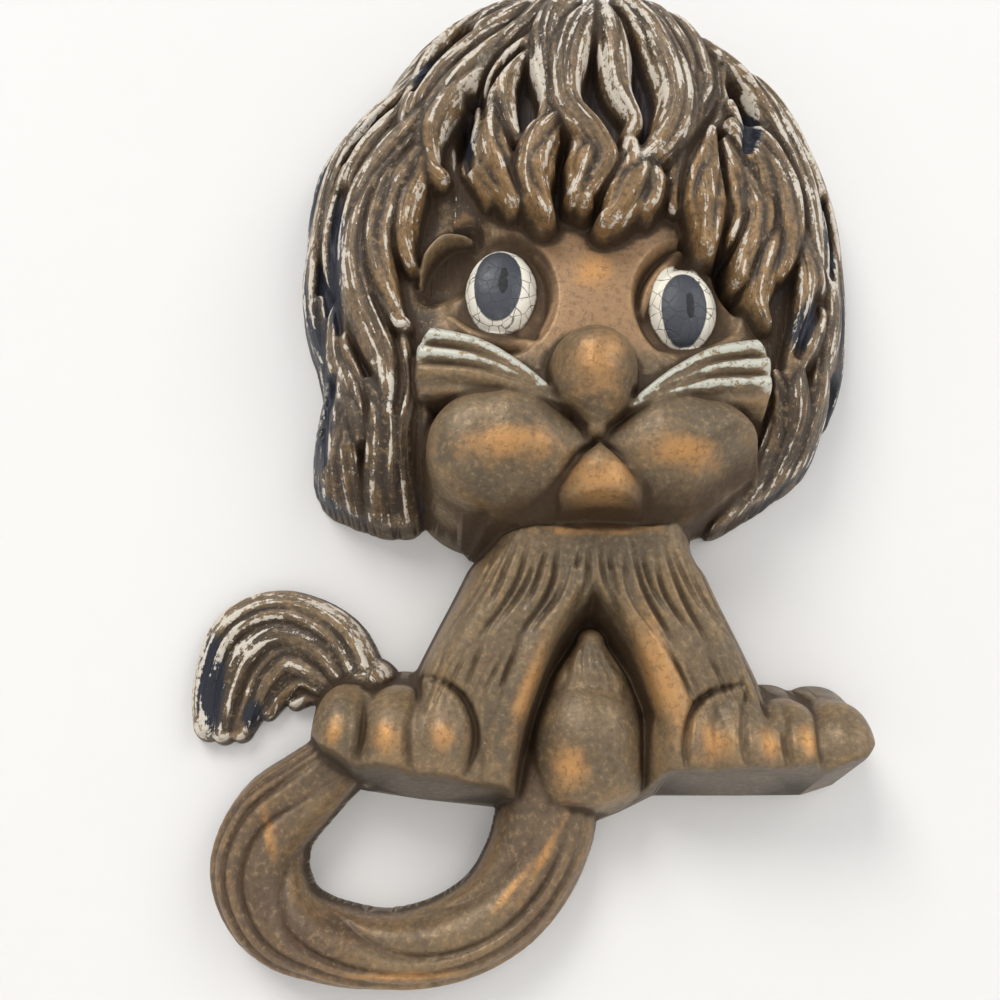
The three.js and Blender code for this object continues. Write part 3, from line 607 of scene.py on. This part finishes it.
# Soft spots of one paint: (centre, radii, turn).
# Gold rubs, which also serve as painted highlights on the nose, muzzle, chin, legs, toes, belly and ring.
GOLD_AND_HIGHLIGHT_SPOTS = [
    ((-1, 207), (13, 15), 0), ((-30, 179), (24, 8), 0.1), ((29, 179), (22, 7), -0.1),
    ((1, 167), (18, 12), 0), ((25, 104), (8, 32), 0.32), ((-22, 98), (4, 24), -0.3),
    ((-85, 82), (4, 7), 0), ((-68, 82), (6, 7), 0), ((-49, 82), (5, 7), 0), ((41, 84), (7, 8), 0),
    ((58, 84), (5, 8), 0), ((71, 84), (5, 8), 0), ((-7, 74), (8, 14), 0), ((0, 256), (9, 14), 0),
    ((-60, 8), (26, 2), 0.05), ((-14, 46), (2, 20), -0.5), ((-24, 36), (1.5, 16), -0.7),
    ((-107, 50), (2, 14), 0.3),
]
WHITE_SPOTS = [
    ((-58, 310), (5, 20), 0.15), ((16, 299), (9, 8), -0.7), ((2, 352), (6, 20), 0.1),
    ((34, 332), (5, 14), 0.4), ((-43, 330), (4, 14), 0.3), ((-94, 332), (14, 8), 0.9),
    ((-26, 340), (5, 22), 0.2), ((84, 326), (12, 34), 0.5), ((92, 286), (9, 30), 0.1),
    ((78, 296), (5, 26), 0.2), ((-72, 370), (20, 8), 0.75), ((50, 356), (5, 22), 0.1),
    ((-73, 204), (3, 14), 0.1), ((-127, 114), (16, 14), 0.6), ((-136, 82), (7, 8), 0),
]
NAVY_SPOTS = [
    ((-101, 262), (6, 34), 0.05), ((-102, 190), (7, 24), 0), ((-50, 310), (4, 18), 0.1),
    ((-66, 350), (5, 18), -0.75), ((-94, 324), (5, 12), -0.7), ((62, 322), (6, 15), -0.1),
    ((80, 236), (7, 18), -0.45), ((95, 284), (5, 24), 0.1), ((100, 205), (7, 24), -0.3),
    ((103, 245), (5, 14), 0), ((-136, 100), (8, 26), 0.1), ((-120, 88), (6, 10), 0),
]


def spots(sheet, places):
    """Soft round-edged patches, 1 in the middle and 0 outside."""
    total = np.zeros(sheet.x.shape)
    for (cx, cz), (rx, rz), turn in places:
        x, z = sheet.x - cx, sheet.z - cz
        u = x * math.cos(turn) + z * math.sin(turn)
        v = z * math.cos(turn) - x * math.sin(turn)
        total = np.maximum(total, np.clip(1.4 - np.hypot(u / rx, v / rz), 0, 1.4) / 1.4)
    return total


def paint_masks(sheet):
    """Where each paint, painted shade and painted highlight lies, from 0 to 1, worked out from the relief
    itself.
    """
    height = np.maximum(sheet.height, 0)
    raised = height - blur(height, 1.6)
    proud = height - blur(height, 6)
    owner = sheet.owner
    hair = widen((owner == MANE) & (height > 0), 1.2)
    tuft = widen(owner == TUFT, 1.0)
    x, z = sheet.x, sheet.z
    locks = np.maximum(hair, tuft)
    away, rise = np.abs(x), above_collar(x, z)
    masks = {}
    brow = widen((owner == FACE) & (z > 206) & (away < 47), 1.5)
    # Dark paint left in the hollows and creases, deepened there as painted shade.
    masks["hollow"] = ramp(proud, 0, -6) * (0.9 - 0.65 * brow) + ramp(raised, 0, -1.1) * 0.75
    masks["ridge"] = ramp(raised, -0.8, 0.8)
    outer = np.clip(1.5 * ramp(height, 32, 0) * ramp(np.abs(x + 4), 58, 98) + 0.5 * ramp(proud, 0, -5), 0, 1)
    masks["navy"] = np.maximum(0.85 * hair * outer, spots(sheet, NAVY_SPOTS) * locks)
    brushed = 0.02 + 0.3 * ramp(z, 290, 340) + 0.2 * ramp(away, 70, 90) * ramp(z, 190, 290)
    masks["white"] = np.maximum(hair * brushed + tuft * 0.25, 0.75 * spots(sheet, WHITE_SPOTS) * locks)
    # A painted highlight in gold along the collar's top edge.
    collar = ramp(np.abs(rise + 2), 3.25, 0.75) * ramp(np.abs(x - 2), 39, 13)
    # Gold rubs and painted highlights, kept off the hair.
    masks["gold"] = np.maximum(spots(sheet, GOLD_AND_HIGHLIGHT_SPOTS), 0.9 * collar) * (1 - hair)
    masks["hair"] = locks
    masks["dim"] = hair * ramp(z, 245, 195)
    masks["copper"] = widen((owner == FACE) & (z > 222), 3) * np.clip(1.9 - away / 26, 0.15, 1)
    # Painted shade on the neck under the chin, down to the collar, kept off the gold.
    neck = ramp(rise, 18.2, 4.2) * widen((owner == FACE) | (owner == MUZZLE), 1.5)
    masks["hollow"] = masks["hollow"] + 0.75 * neck * np.clip(1.5 - masks["gold"] * 1.6, 0, 1)
    # A painted shadow in a ring round each eye.
    for (cx, cz), (rx, rz) in EYES.values():
        ring = np.hypot((x - cx + np.sign(cx) * 2) / (rx + 3), (z - cz) / (rz + 3))
        socket_shadow = np.clip(1.3 - np.abs(ring - 1) / 0.16, 0, 1) * (owner != EYE) * (1 - hair)
        masks["hollow"] = np.maximum(masks["hollow"], 0.75 * socket_shadow)
    masks["russet"] = widen(owner == RING, 1.5)
    masks["mint"] = widen(owner == WHISKER, 0.5) * np.clip(0.1 + raised / 0.8, 0, 1)
    masks["amber"] = hair * ramp(z, 225, 245) * ramp(z, 318, 293) * ramp(away, 85, 70)
    # Painted shade on the underside of the ledge, which faces down away from the light.
    masks["ledge_underside_shade"] = widen(owner == LEDGE, 1.0)
    masks["front"] = np.ones(x.shape)
    return {name: np.clip(blend_cells(values), 0, 1) for name, values in masks.items()}


def sample(values, sheet, x, z):
    """Values of the sheet read between its cells."""
    i = np.clip((x - sheet.xs[0]) / CELL, 0, len(sheet.xs) - 1.001)
    j = np.clip((z - sheet.zs[0]) / CELL, 0, len(sheet.zs) - 1.001)
    i0, j0 = i.astype(int), j.astype(int)
    u, v = i - i0, j - j0
    low = values[j0, i0] * (1 - u) + values[j0, i0 + 1] * u
    high = values[j0 + 1, i0] * (1 - u) + values[j0 + 1, i0 + 1] * u
    return low * (1 - v) + high * v


def build_plaque(sheet):
    """The casting as one closed mesh: the relief in front, cut by the wall plane, and a flat back."""
    height = sheet.height
    near = np.zeros(height.shape, bool)
    solid = height > 0
    near[:-1, :-1] = solid[:-1, :-1] | solid[1:, :-1] | solid[:-1, 1:] | solid[1:, 1:]
    j, i = np.nonzero(near)
    number = np.full(height.shape, -1)
    used = np.zeros(height.shape, bool)
    for dj in (0, 1):
        for di in (0, 1):
            used[j + dj, i + di] = True
    number[used] = np.arange(used.sum())
    quads = np.stack([number[j, i], number[j, i + 1], number[j + 1, i + 1], number[j + 1, i]], 1)
    points = np.stack([sheet.x[used], -height[used], sheet.z[used]], 1)
    mesh = bpy.data.meshes.new("lion_relief")
    mesh.from_pydata(points, [], quads)
    shape = bmesh.new()
    shape.from_mesh(mesh)
    everything = shape.verts[:] + shape.edges[:] + shape.faces[:]
    bmesh.ops.bisect_plane(shape, geom=everything, plane_co=(0, 0, 0), plane_no=(0, 1, 0), clear_outer=True)
    rim = [edge for edge in shape.edges if edge.is_boundary]
    bmesh.ops.triangle_fill(shape, edges=rim, use_beauty=False, use_dissolve=False, normal=(0, 1, 0))
    bmesh.ops.recalc_face_normals(shape, faces=shape.faces)
    shape.to_mesh(mesh)
    shape.free()
    plaque = bpy.data.objects.new("lion_casting", mesh)
    bpy.context.scene.collection.objects.link(plaque)
    triangles = sum(len(face.vertices) - 2 for face in mesh.polygons)
    if triangles > FACES_WANTED:
        fewer = plaque.modifiers.new("fewer", "DECIMATE")
        fewer.ratio = FACES_WANTED / triangles
        fewer.use_collapse_triangulate = True
        reduced = bpy.data.meshes.new_from_object(plaque.evaluated_get(bpy.context.evaluated_depsgraph_get()))
        plaque.modifiers.clear()
        plaque.data = reduced
    return plaque


def fit_to_box(plaque):
    """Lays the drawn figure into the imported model's box, its back on the wall."""
    mesh = plaque.data
    points = np.empty(len(mesh.vertices) * 3)
    mesh.vertices.foreach_get("co", points)
    points = points.reshape(-1, 3)
    drawn = points.copy()
    scale = (cad_high[2] - cad_low[2]) / np.ptp(points[:, 2])
    points[:, 0] = drawn[:, 0] * scale
    points[:, 2] = (drawn[:, 2] - drawn[:, 2].min()) * scale + cad_low[2]
    points[:, 1] = drawn[:, 1] * (cad_high[1] - cad_low[1]) / np.ptp(drawn[:, 1])
    mesh.vertices.foreach_set("co", points.ravel())
    mesh.update()
    return drawn, scale


def rgb(*levels):
    """A colour in linear light, given as it looks on a screen by levels over 10 and up to 255."""
    return tuple(((level / 255 + 0.055) / 1.055)**2.4 for level in levels) + (1,)


BROWN, BROWN_WARM, COPPER = rgb(106, 92, 72), rgb(130, 110, 83), rgb(168, 132, 96)
LOCK_DARK, LOCK_LIGHT, LOCK_DIM = rgb(60, 50, 39), rgb(112, 94, 72), rgb(60, 50, 42)
# GOLD is used both for the gold rubs and for the painted highlights.
AMBER, RUSSET, GOLD, WORN = rgb(138, 106, 66), rgb(104, 84, 66), rgb(216, 160, 98), rgb(172, 136, 90)
SPECK_DARK, SPECK_LIGHT = rgb(70, 56, 40), rgb(180, 150, 108)
# Dark brown paint with painted shade for the hollows; painted shade for the ledge's underside.
HOLLOW_PAINT_AND_SHADE, LEDGE_SHADE = rgb(64, 46, 27), rgb(68, 62, 54)
NAVY, NAVY_WORN, CHALK, MINT = rgb(26, 30, 42), rgb(70, 72, 80), rgb(222, 213, 198), rgb(206, 208, 195)
CREAM, CRACK, SLATE, SLATE_WORN = rgb(250, 245, 230), rgb(70, 58, 46), rgb(66, 70, 78), rgb(108, 112, 116)
PUPIL = rgb(24, 24, 28)
PUPIL_RADII = (0.0016, 0.0055)


class Paint:
    """A material's node tree, built with short calls."""

    def __init__(self, name):
        self.material = bpy.data.materials.new(name)
        self.material.use_nodes = True
        self.tree = self.material.node_tree
        self.shader = self.tree.nodes["Principled BSDF"]
        self.place = self.add("ShaderNodeTexCoord").outputs["Object"]

    def add(self, kind, **settings):
        node = self.tree.nodes.new(kind)
        for name, value in settings.items():
            setattr(node, name, value)
        return node

    def put(self, value, socket_shadow):
        if isinstance(value, bpy.types.NodeSocket):
            self.tree.links.new(value, socket_shadow)
        else:
            socket_shadow.default_value = value

    def math(self, operation, first, second=0.0):
        node = self.add("ShaderNodeMath", operation=operation, use_clamp=False)
        self.put(first, node.inputs[0])
        self.put(second, node.inputs[1])
        return node.outputs[0]

    def times(self, *values):
        total = values[0]
        for value in values[1:]:
            total = self.math("MULTIPLY", total, value)
        return total

    def plus(self, first, second):
        return self.math("ADD", first, second)

    def step(self, value, low, high):
        """Rises smoothly from 0 to 1 as a value goes from low to high."""
        node = self.add("ShaderNodeMapRange", interpolation_type="SMOOTHSTEP")
        self.put(value, node.inputs["Value"])
        node.inputs["From Min"].default_value = low
        node.inputs["From Max"].default_value = high
        return node.outputs["Result"]

    def mix(self, first, second, share):
        node = self.add("ShaderNodeMix", data_type="RGBA")
        self.put(share, node.inputs[0])
        self.put(first, node.inputs[6])
        self.put(second, node.inputs[7])
        return node.outputs[2]

    def shifted(self, seed):
        """The place moved by a seed, so that two patterns of one kind differ."""
        shift = self.add("ShaderNodeVectorMath", operation="ADD")
        self.put(self.place, shift.inputs[0])
        shift.inputs[1].default_value = (0.37 * seed, 0.71 * seed, 0.53 * seed)
        return shift.outputs[0]

    def noise(self, size, detail=3.0, rough=0.55, seed=0.0):
        """Cloudy noise with patches about a given size, in metres."""
        node = self.add("ShaderNodeTexNoise")
        self.put(self.shifted(seed), node.inputs["Vector"])
        node.inputs["Scale"].default_value = 0.5 / size
        node.inputs["Detail"].default_value = detail
        node.inputs["Roughness"].default_value = rough
        return node.outputs["Fac"]

    def strands(self, across, along, detail, seed=0.0):
        """Streaks that run along the strands, of a given width and length in metres."""
        place = self.add("ShaderNodeCombineXYZ")
        self.put(self.plus(self.times(self.mask("side"), 0.5 / across), 3.7 * seed), place.inputs["X"])
        self.put(self.plus(self.times(self.mask("run"), 0.5 / along), 1.9 * seed), place.inputs["Y"])
        node = self.add("ShaderNodeTexNoise", noise_dimensions="2D")
        self.put(place.outputs[0], node.inputs["Vector"])
        node.inputs["Scale"].default_value = 1
        node.inputs["Detail"].default_value = detail
        return node.outputs["Fac"]

    def cells(self, size, feature="DISTANCE_TO_EDGE", seed=0.0):
        node = self.add("ShaderNodeTexVoronoi", feature=feature)
        self.put(self.shifted(seed), node.inputs["Vector"])
        node.inputs["Scale"].default_value = 1 / size
        return node.outputs["Distance"]

    def mask(self, name):
        return self.add("ShaderNodeAttribute", attribute_name=name).outputs["Fac"]


def ellipse(paint, centre, radii, warp):
    """1 inside an upright ellipse on the face, 0 outside, with a hand-painted edge."""
    parts = paint.add("ShaderNodeSeparateXYZ")
    paint.put(paint.place, parts.inputs[0])
    u = paint.math("DIVIDE", paint.math("SUBTRACT", parts.outputs["X"], centre[0]), radii[0])
    v = paint.math("DIVIDE", paint.math("SUBTRACT", parts.outputs["Z"], centre[1]), radii[1])
    r = paint.math("SQRT", paint.plus(paint.times(u, u), paint.times(v, v)))
    return paint.step(paint.plus(r, warp), 1.02, 0.97)


def bronze_paint(scale):
    """Old bronze paint: brown with gold rubs and painted highlights, dark paint and painted shade in the
    hollows, navy sides and white brushed on the locks.
    """
    def spot(x, z):
        """A drawn place on the finished casting."""
        return x * scale, z * scale + cad_low[2]

    def about(value, reach):
        """A value from 0 to 1 moved to lie evenly about nothing."""
        return paint.times(paint.math("SUBTRACT", value, 0.5), reach)

    paint = Paint("antique_bronze")
    patches = paint.noise(0.022, 4)
    mottle = paint.noise(0.0045, 5, 0.65, seed=3)
    fine = paint.noise(0.0011, 4, 0.7, seed=5)
    grain = paint.noise(0.00045, 2, 0.6, seed=7)
    streak = paint.strands(0.0009, 0.012, 3.0)
    wisp = paint.strands(0.0028, 0.03, 2.0, seed=4)
    hollow, ridge, hair = paint.mask("hollow"), paint.mask("ridge"), paint.mask("hair")
    # Brown, warmer in patches, with a dark and a light speckle.
    brown = paint.mix(BROWN, BROWN_WARM, paint.step(patches, 0.35, 0.65))
    brown = paint.mix(brown, COPPER, paint.times(paint.mask("copper"), 0.9))
    russet = paint.times(paint.mask("russet"), paint.step(patches, 0.7, 0.3), 0.9)
    brown = paint.mix(brown, RUSSET, russet)
    locks = paint.mix(LOCK_DARK, LOCK_LIGHT, paint.step(paint.plus(wisp, about(ridge, 0.7)), 0.35, 0.75))
    amber = paint.times(paint.mask("amber"), paint.step(ridge, 0.4, 0.9), 0.8)
    locks = paint.mix(locks, AMBER, amber)
    locks = paint.mix(locks, LOCK_DIM, paint.times(paint.mask("dim"), 0.75))
    brown = paint.mix(brown, locks, hair)
    # Gold rubbed on in soft spots, broken by the speckle; the spots also serve as painted highlights on the
    # rounded forms, and the collar's top edge is a painted highlight.
    rub_and_highlight = paint.times(paint.step(paint.plus(paint.mask("gold"), about(mottle, 1.0)), 0.2, 1.1), 0.85)
    brown = paint.mix(brown, GOLD, rub_and_highlight)
    tips = paint.times(paint.step(paint.plus(mottle, about(ridge, 0.6)), 0.55, 0.85), 0.3)
    brown = paint.mix(brown, WORN, tips)
    grit = paint.plus(0.35, paint.times(hair, 0.3))
    brown = paint.mix(brown, SPECK_DARK, paint.times(paint.step(fine, 0.5, 0.64), grit))
    brown = paint.mix(brown, SPECK_LIGHT, paint.times(paint.step(fine, 0.46, 0.36), 0.35))
    # Dark brown paint left in the hollows, deepened with painted shade there, under the chin and round the
    # eyes; painted shade on the ledge's underside.
    hollow_paint_and_shade = paint.step(paint.plus(hollow, about(mottle, 0.5)), 0.12, 0.85)
    brown = paint.mix(brown, HOLLOW_PAINT_AND_SHADE, paint.times(hollow_paint_and_shade, 0.92))
    # Painted shade on the ledge's underside.
    brown = paint.mix(brown, LEDGE_SHADE, paint.times(paint.mask("ledge_underside_shade"), 0.85))
    # Navy in the mane's cavities and on its outer sides.
    blue = paint.step(paint.plus(paint.mask("navy"), about(patches, 0.8)), 0.32, 0.6)
    colour = paint.mix(brown, paint.mix(NAVY, NAVY_WORN, paint.step(streak, 0.5, 0.8)), blue)
    # White brushed on in streaks along the locks, on the ridges only, broken by a fine speckle.
    chalk = paint.plus(paint.mask("white"), paint.plus(about(streak, 2.2), about(ridge, 1.1)))
    broken = paint.plus(about(mottle, 1.2), about(fine, 1.6))
    chalk = paint.step(paint.plus(chalk, broken), 0.62, 0.82)
    chalk = paint.times(chalk, hair, paint.step(fine, 0.34, 0.46), paint.step(hollow, 0.7, 0.3))
    colour = paint.mix(colour, CHALK, paint.times(chalk, 0.88))
    # Pale mint whiskers.
    mint = paint.step(paint.plus(paint.mask("mint"), about(mottle, 2.0)), 0.42, 0.74)
    mint = paint.times(mint, paint.step(fine, 0.36, 0.48))
    colour = paint.mix(colour, MINT, paint.times(mint, 0.9))
    # Eyes: cracked cream, slate irises and a smeared dark pupil.
    warp = about(mottle, 0.12)
    crack = paint.step(paint.plus(paint.cells(0.0056, seed=2), about(fine, 0.08)), 0.03, 0.008)
    eyes = 0.0
    for (centre, radii), (iris, iris_radii) in zip(EYES.values(), IRISES.values()):
        white = ellipse(paint, spot(*centre), (radii[0] * scale, radii[1] * scale), warp)
        white = paint.times(white, paint.mask("front"))
        cream = paint.mix(CREAM, CRACK, paint.times(crack, 0.8))
        slate = paint.mix(SLATE, SLATE_WORN, paint.step(mottle, 0.5, 0.85))
        pupil = ellipse(paint, spot(iris[0] + 2, iris[1]), PUPIL_RADII, about(mottle, 2.2))
        slate = paint.mix(slate, PUPIL, pupil)
        inner = ellipse(paint, spot(*iris), (iris_radii[0] * scale, iris_radii[1] * scale), warp)
        colour = paint.mix(colour, paint.mix(cream, slate, inner), white)
        eyes = paint.plus(white, eyes)
    paint.put(colour, paint.shader.inputs["Base Color"])
    bare = paint.math("SUBTRACT", 1.0, paint.math("MAXIMUM", paint.math("MAXIMUM", chalk, blue), eyes))
    paint.put(paint.times(bare, paint.plus(0.3, paint.times(rub_and_highlight, 0.35))), paint.shader.inputs["Metallic"])
    dull = paint.times(paint.math("MAXIMUM", chalk, hollow_paint_and_shade), 0.2)
    rough = paint.plus(paint.plus(0.36, paint.times(fine, 0.2)), dull)
    paint.put(rough, paint.shader.inputs["Roughness"])
    # Fine relief: speckle, strands, pinholes and the cracks of the eyes.
    lumps = paint.add("ShaderNodeBump")
    lumps.inputs["Strength"].default_value = 0.5
    lumps.inputs["Distance"].default_value = 0.0009
    relief = paint.plus(paint.times(fine, 0.4), paint.plus(paint.times(grain, 0.2), paint.times(mottle, 0.6)))
    relief = paint.plus(relief, paint.times(paint.plus(streak, wisp), hair, 1.6))
    pits = paint.step(paint.cells(0.006, feature="F1", seed=9), 0.09, 0.04)
    relief = paint.math("SUBTRACT", relief, paint.times(pits, 0.9))
    relief = paint.math("SUBTRACT", relief, paint.times(crack, paint.times(eyes, 0.6)))
    paint.put(relief, lumps.inputs["Height"])
    paint.put(lumps.outputs[0], paint.shader.inputs["Normal"])
    return paint.material


def plain_wall():
    """A pale wall seen from the front. Views from behind and light on the casting's back pass through."""
    paint = Paint("pale_wall")
    patches = paint.noise(0.15, 2)
    colour = paint.mix(rgb(234, 233, 231), rgb(240, 239, 237), patches)
    wall = paint.add("ShaderNodeBsdfDiffuse")
    paint.put(colour, wall.inputs["Color"])
    clear = paint.add("ShaderNodeBsdfTransparent")
    path, faces = paint.add("ShaderNodeLightPath"), paint.add("ShaderNodeNewGeometry")
    through = paint.math("MAXIMUM", faces.outputs["Backfacing"], path.outputs["Is Shadow Ray"])
    close = paint.math("LESS_THAN", path.outputs["Ray Length"], 3 * WALL_GAP)
    through = paint.math("MAXIMUM", through, close)
    both = paint.add("ShaderNodeMixShader")
    paint.put(through, both.inputs[0])
    paint.put(wall.outputs[0], both.inputs[1])
    paint.put(clear.outputs[0], both.inputs[2])
    paint.put(both.outputs[0], paint.tree.nodes["Material Output"].inputs["Surface"])
    return paint.material


def plane(name, corners, material):
    mesh = bpy.data.meshes.new(name)
    mesh.from_pydata(corners, [], [(0, 1, 2, 3)])
    mesh.materials.append(material)
    sheet = bpy.data.objects.new(name, mesh)
    bpy.context.scene.collection.objects.link(sheet)


def build_stage():
    material = plain_wall()
    low = cad_low[2] - FLOOR_DROP
    foot = [(-WALL_HALF, WALL_GAP, low), (WALL_HALF, WALL_GAP, low)]
    head = [(WALL_HALF, WALL_GAP, WALL_HIGH), (-WALL_HALF, WALL_GAP, WALL_HIGH)]
    front = [(-WALL_HALF, -WALL_HALF, low), (WALL_HALF, -WALL_HALF, low)]
    plane("wall", foot + head, material)
    plane("floor", front + foot[::-1], material)


ROOM_COLOUR = (0.93, 0.95, 1.0, 1)
ROOM_STRENGTH = 0.52
# Name, place, aim, size, power and colour of each light.
LIGHTS = [
    ("window", (-1.9, -3.0, 2.9), (0, 0, -0.05), 2.0, 106, (1.0, 0.98, 0.95)),
    ("room", (2.8, -2.6, 1.7), (0.3, 0, -0.05), 2.5, 50, (1.0, 0.99, 0.97)),
]


def area_light(name, place, aim, size, power, colour):
    light = bpy.data.lights.new(name, "AREA")
    light.size = size
    light.energy = power
    light.color = colour
    lamp = bpy.data.objects.new(name, light)
    lamp.location = place
    direction = Vector(aim) - Vector(place)
    lamp.rotation_euler = direction.to_track_quat("-Z", "Y").to_euler()
    bpy.context.scene.collection.objects.link(lamp)


def build_light():
    world = bpy.data.worlds.new("pale_room")
    world.use_nodes = True
    background = world.node_tree.nodes["Background"]
    background.inputs["Color"].default_value = ROOM_COLOUR
    background.inputs["Strength"].default_value = ROOM_STRENGTH
    bpy.context.scene.world = world
    for light in LIGHTS:
        area_light(*light)
    bpy.context.scene.view_settings.view_transform = "Standard"


# The view: close up, from a little below and to the left, tilted up and slightly turned.
CAMERA_TILT, CAMERA_ROLL = math.radians(17), math.radians(2)
CAMERA_PLACE = (-0.03306, -0.326, 0.0755)  # from the middle of the casting's lower edge
CAMERA_LENS = 30.6


def build_camera():
    tilt, roll = CAMERA_TILT, CAMERA_ROLL
    right = Vector((1, 0, 0))
    ahead = Vector((0, math.cos(tilt), math.sin(tilt)))
    above = Vector((0, -math.sin(tilt), math.cos(tilt)))
    across = right * math.cos(roll) + above * math.sin(roll)
    upward = above * math.cos(roll) - right * math.sin(roll)
    camera = bpy.data.cameras.new("camera")
    camera.lens = CAMERA_LENS
    camera.sensor_width = 36
    camera.clip_start = 0.01
    eye = bpy.data.objects.new("camera", camera)
    turn = Matrix((across, upward, -ahead)).transposed().to_4x4()
    place = Vector(CAMERA_PLACE) + Vector((0, 0, cad_low[2]))
    eye.matrix_world = Matrix.Translation(place) @ turn
    bpy.context.scene.collection.objects.link(eye)
    bpy.context.scene.camera = eye


def main():
    sheet = draw_figure()
    masks = paint_masks(sheet)
    plaque = build_plaque(sheet)
    drawn, scale = fit_to_box(plaque)
    masks["run"], masks["side"] = sheet.run * scale, sheet.side * scale
    off_wall = drawn[:, 1] < -0.01
    for name, values in masks.items():
        layer = plaque.data.attributes.new(name, "FLOAT", "POINT")
        layer.data.foreach_set("value", sample(values, sheet, drawn[:, 0], drawn[:, 2]) * off_wall)
    plaque.data.shade_smooth()
    plaque.data.materials.append(bronze_paint(scale))
    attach(plaque, "root")
    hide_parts("lion_plaque")
    build_stage()
    build_light()
    build_camera()


main()
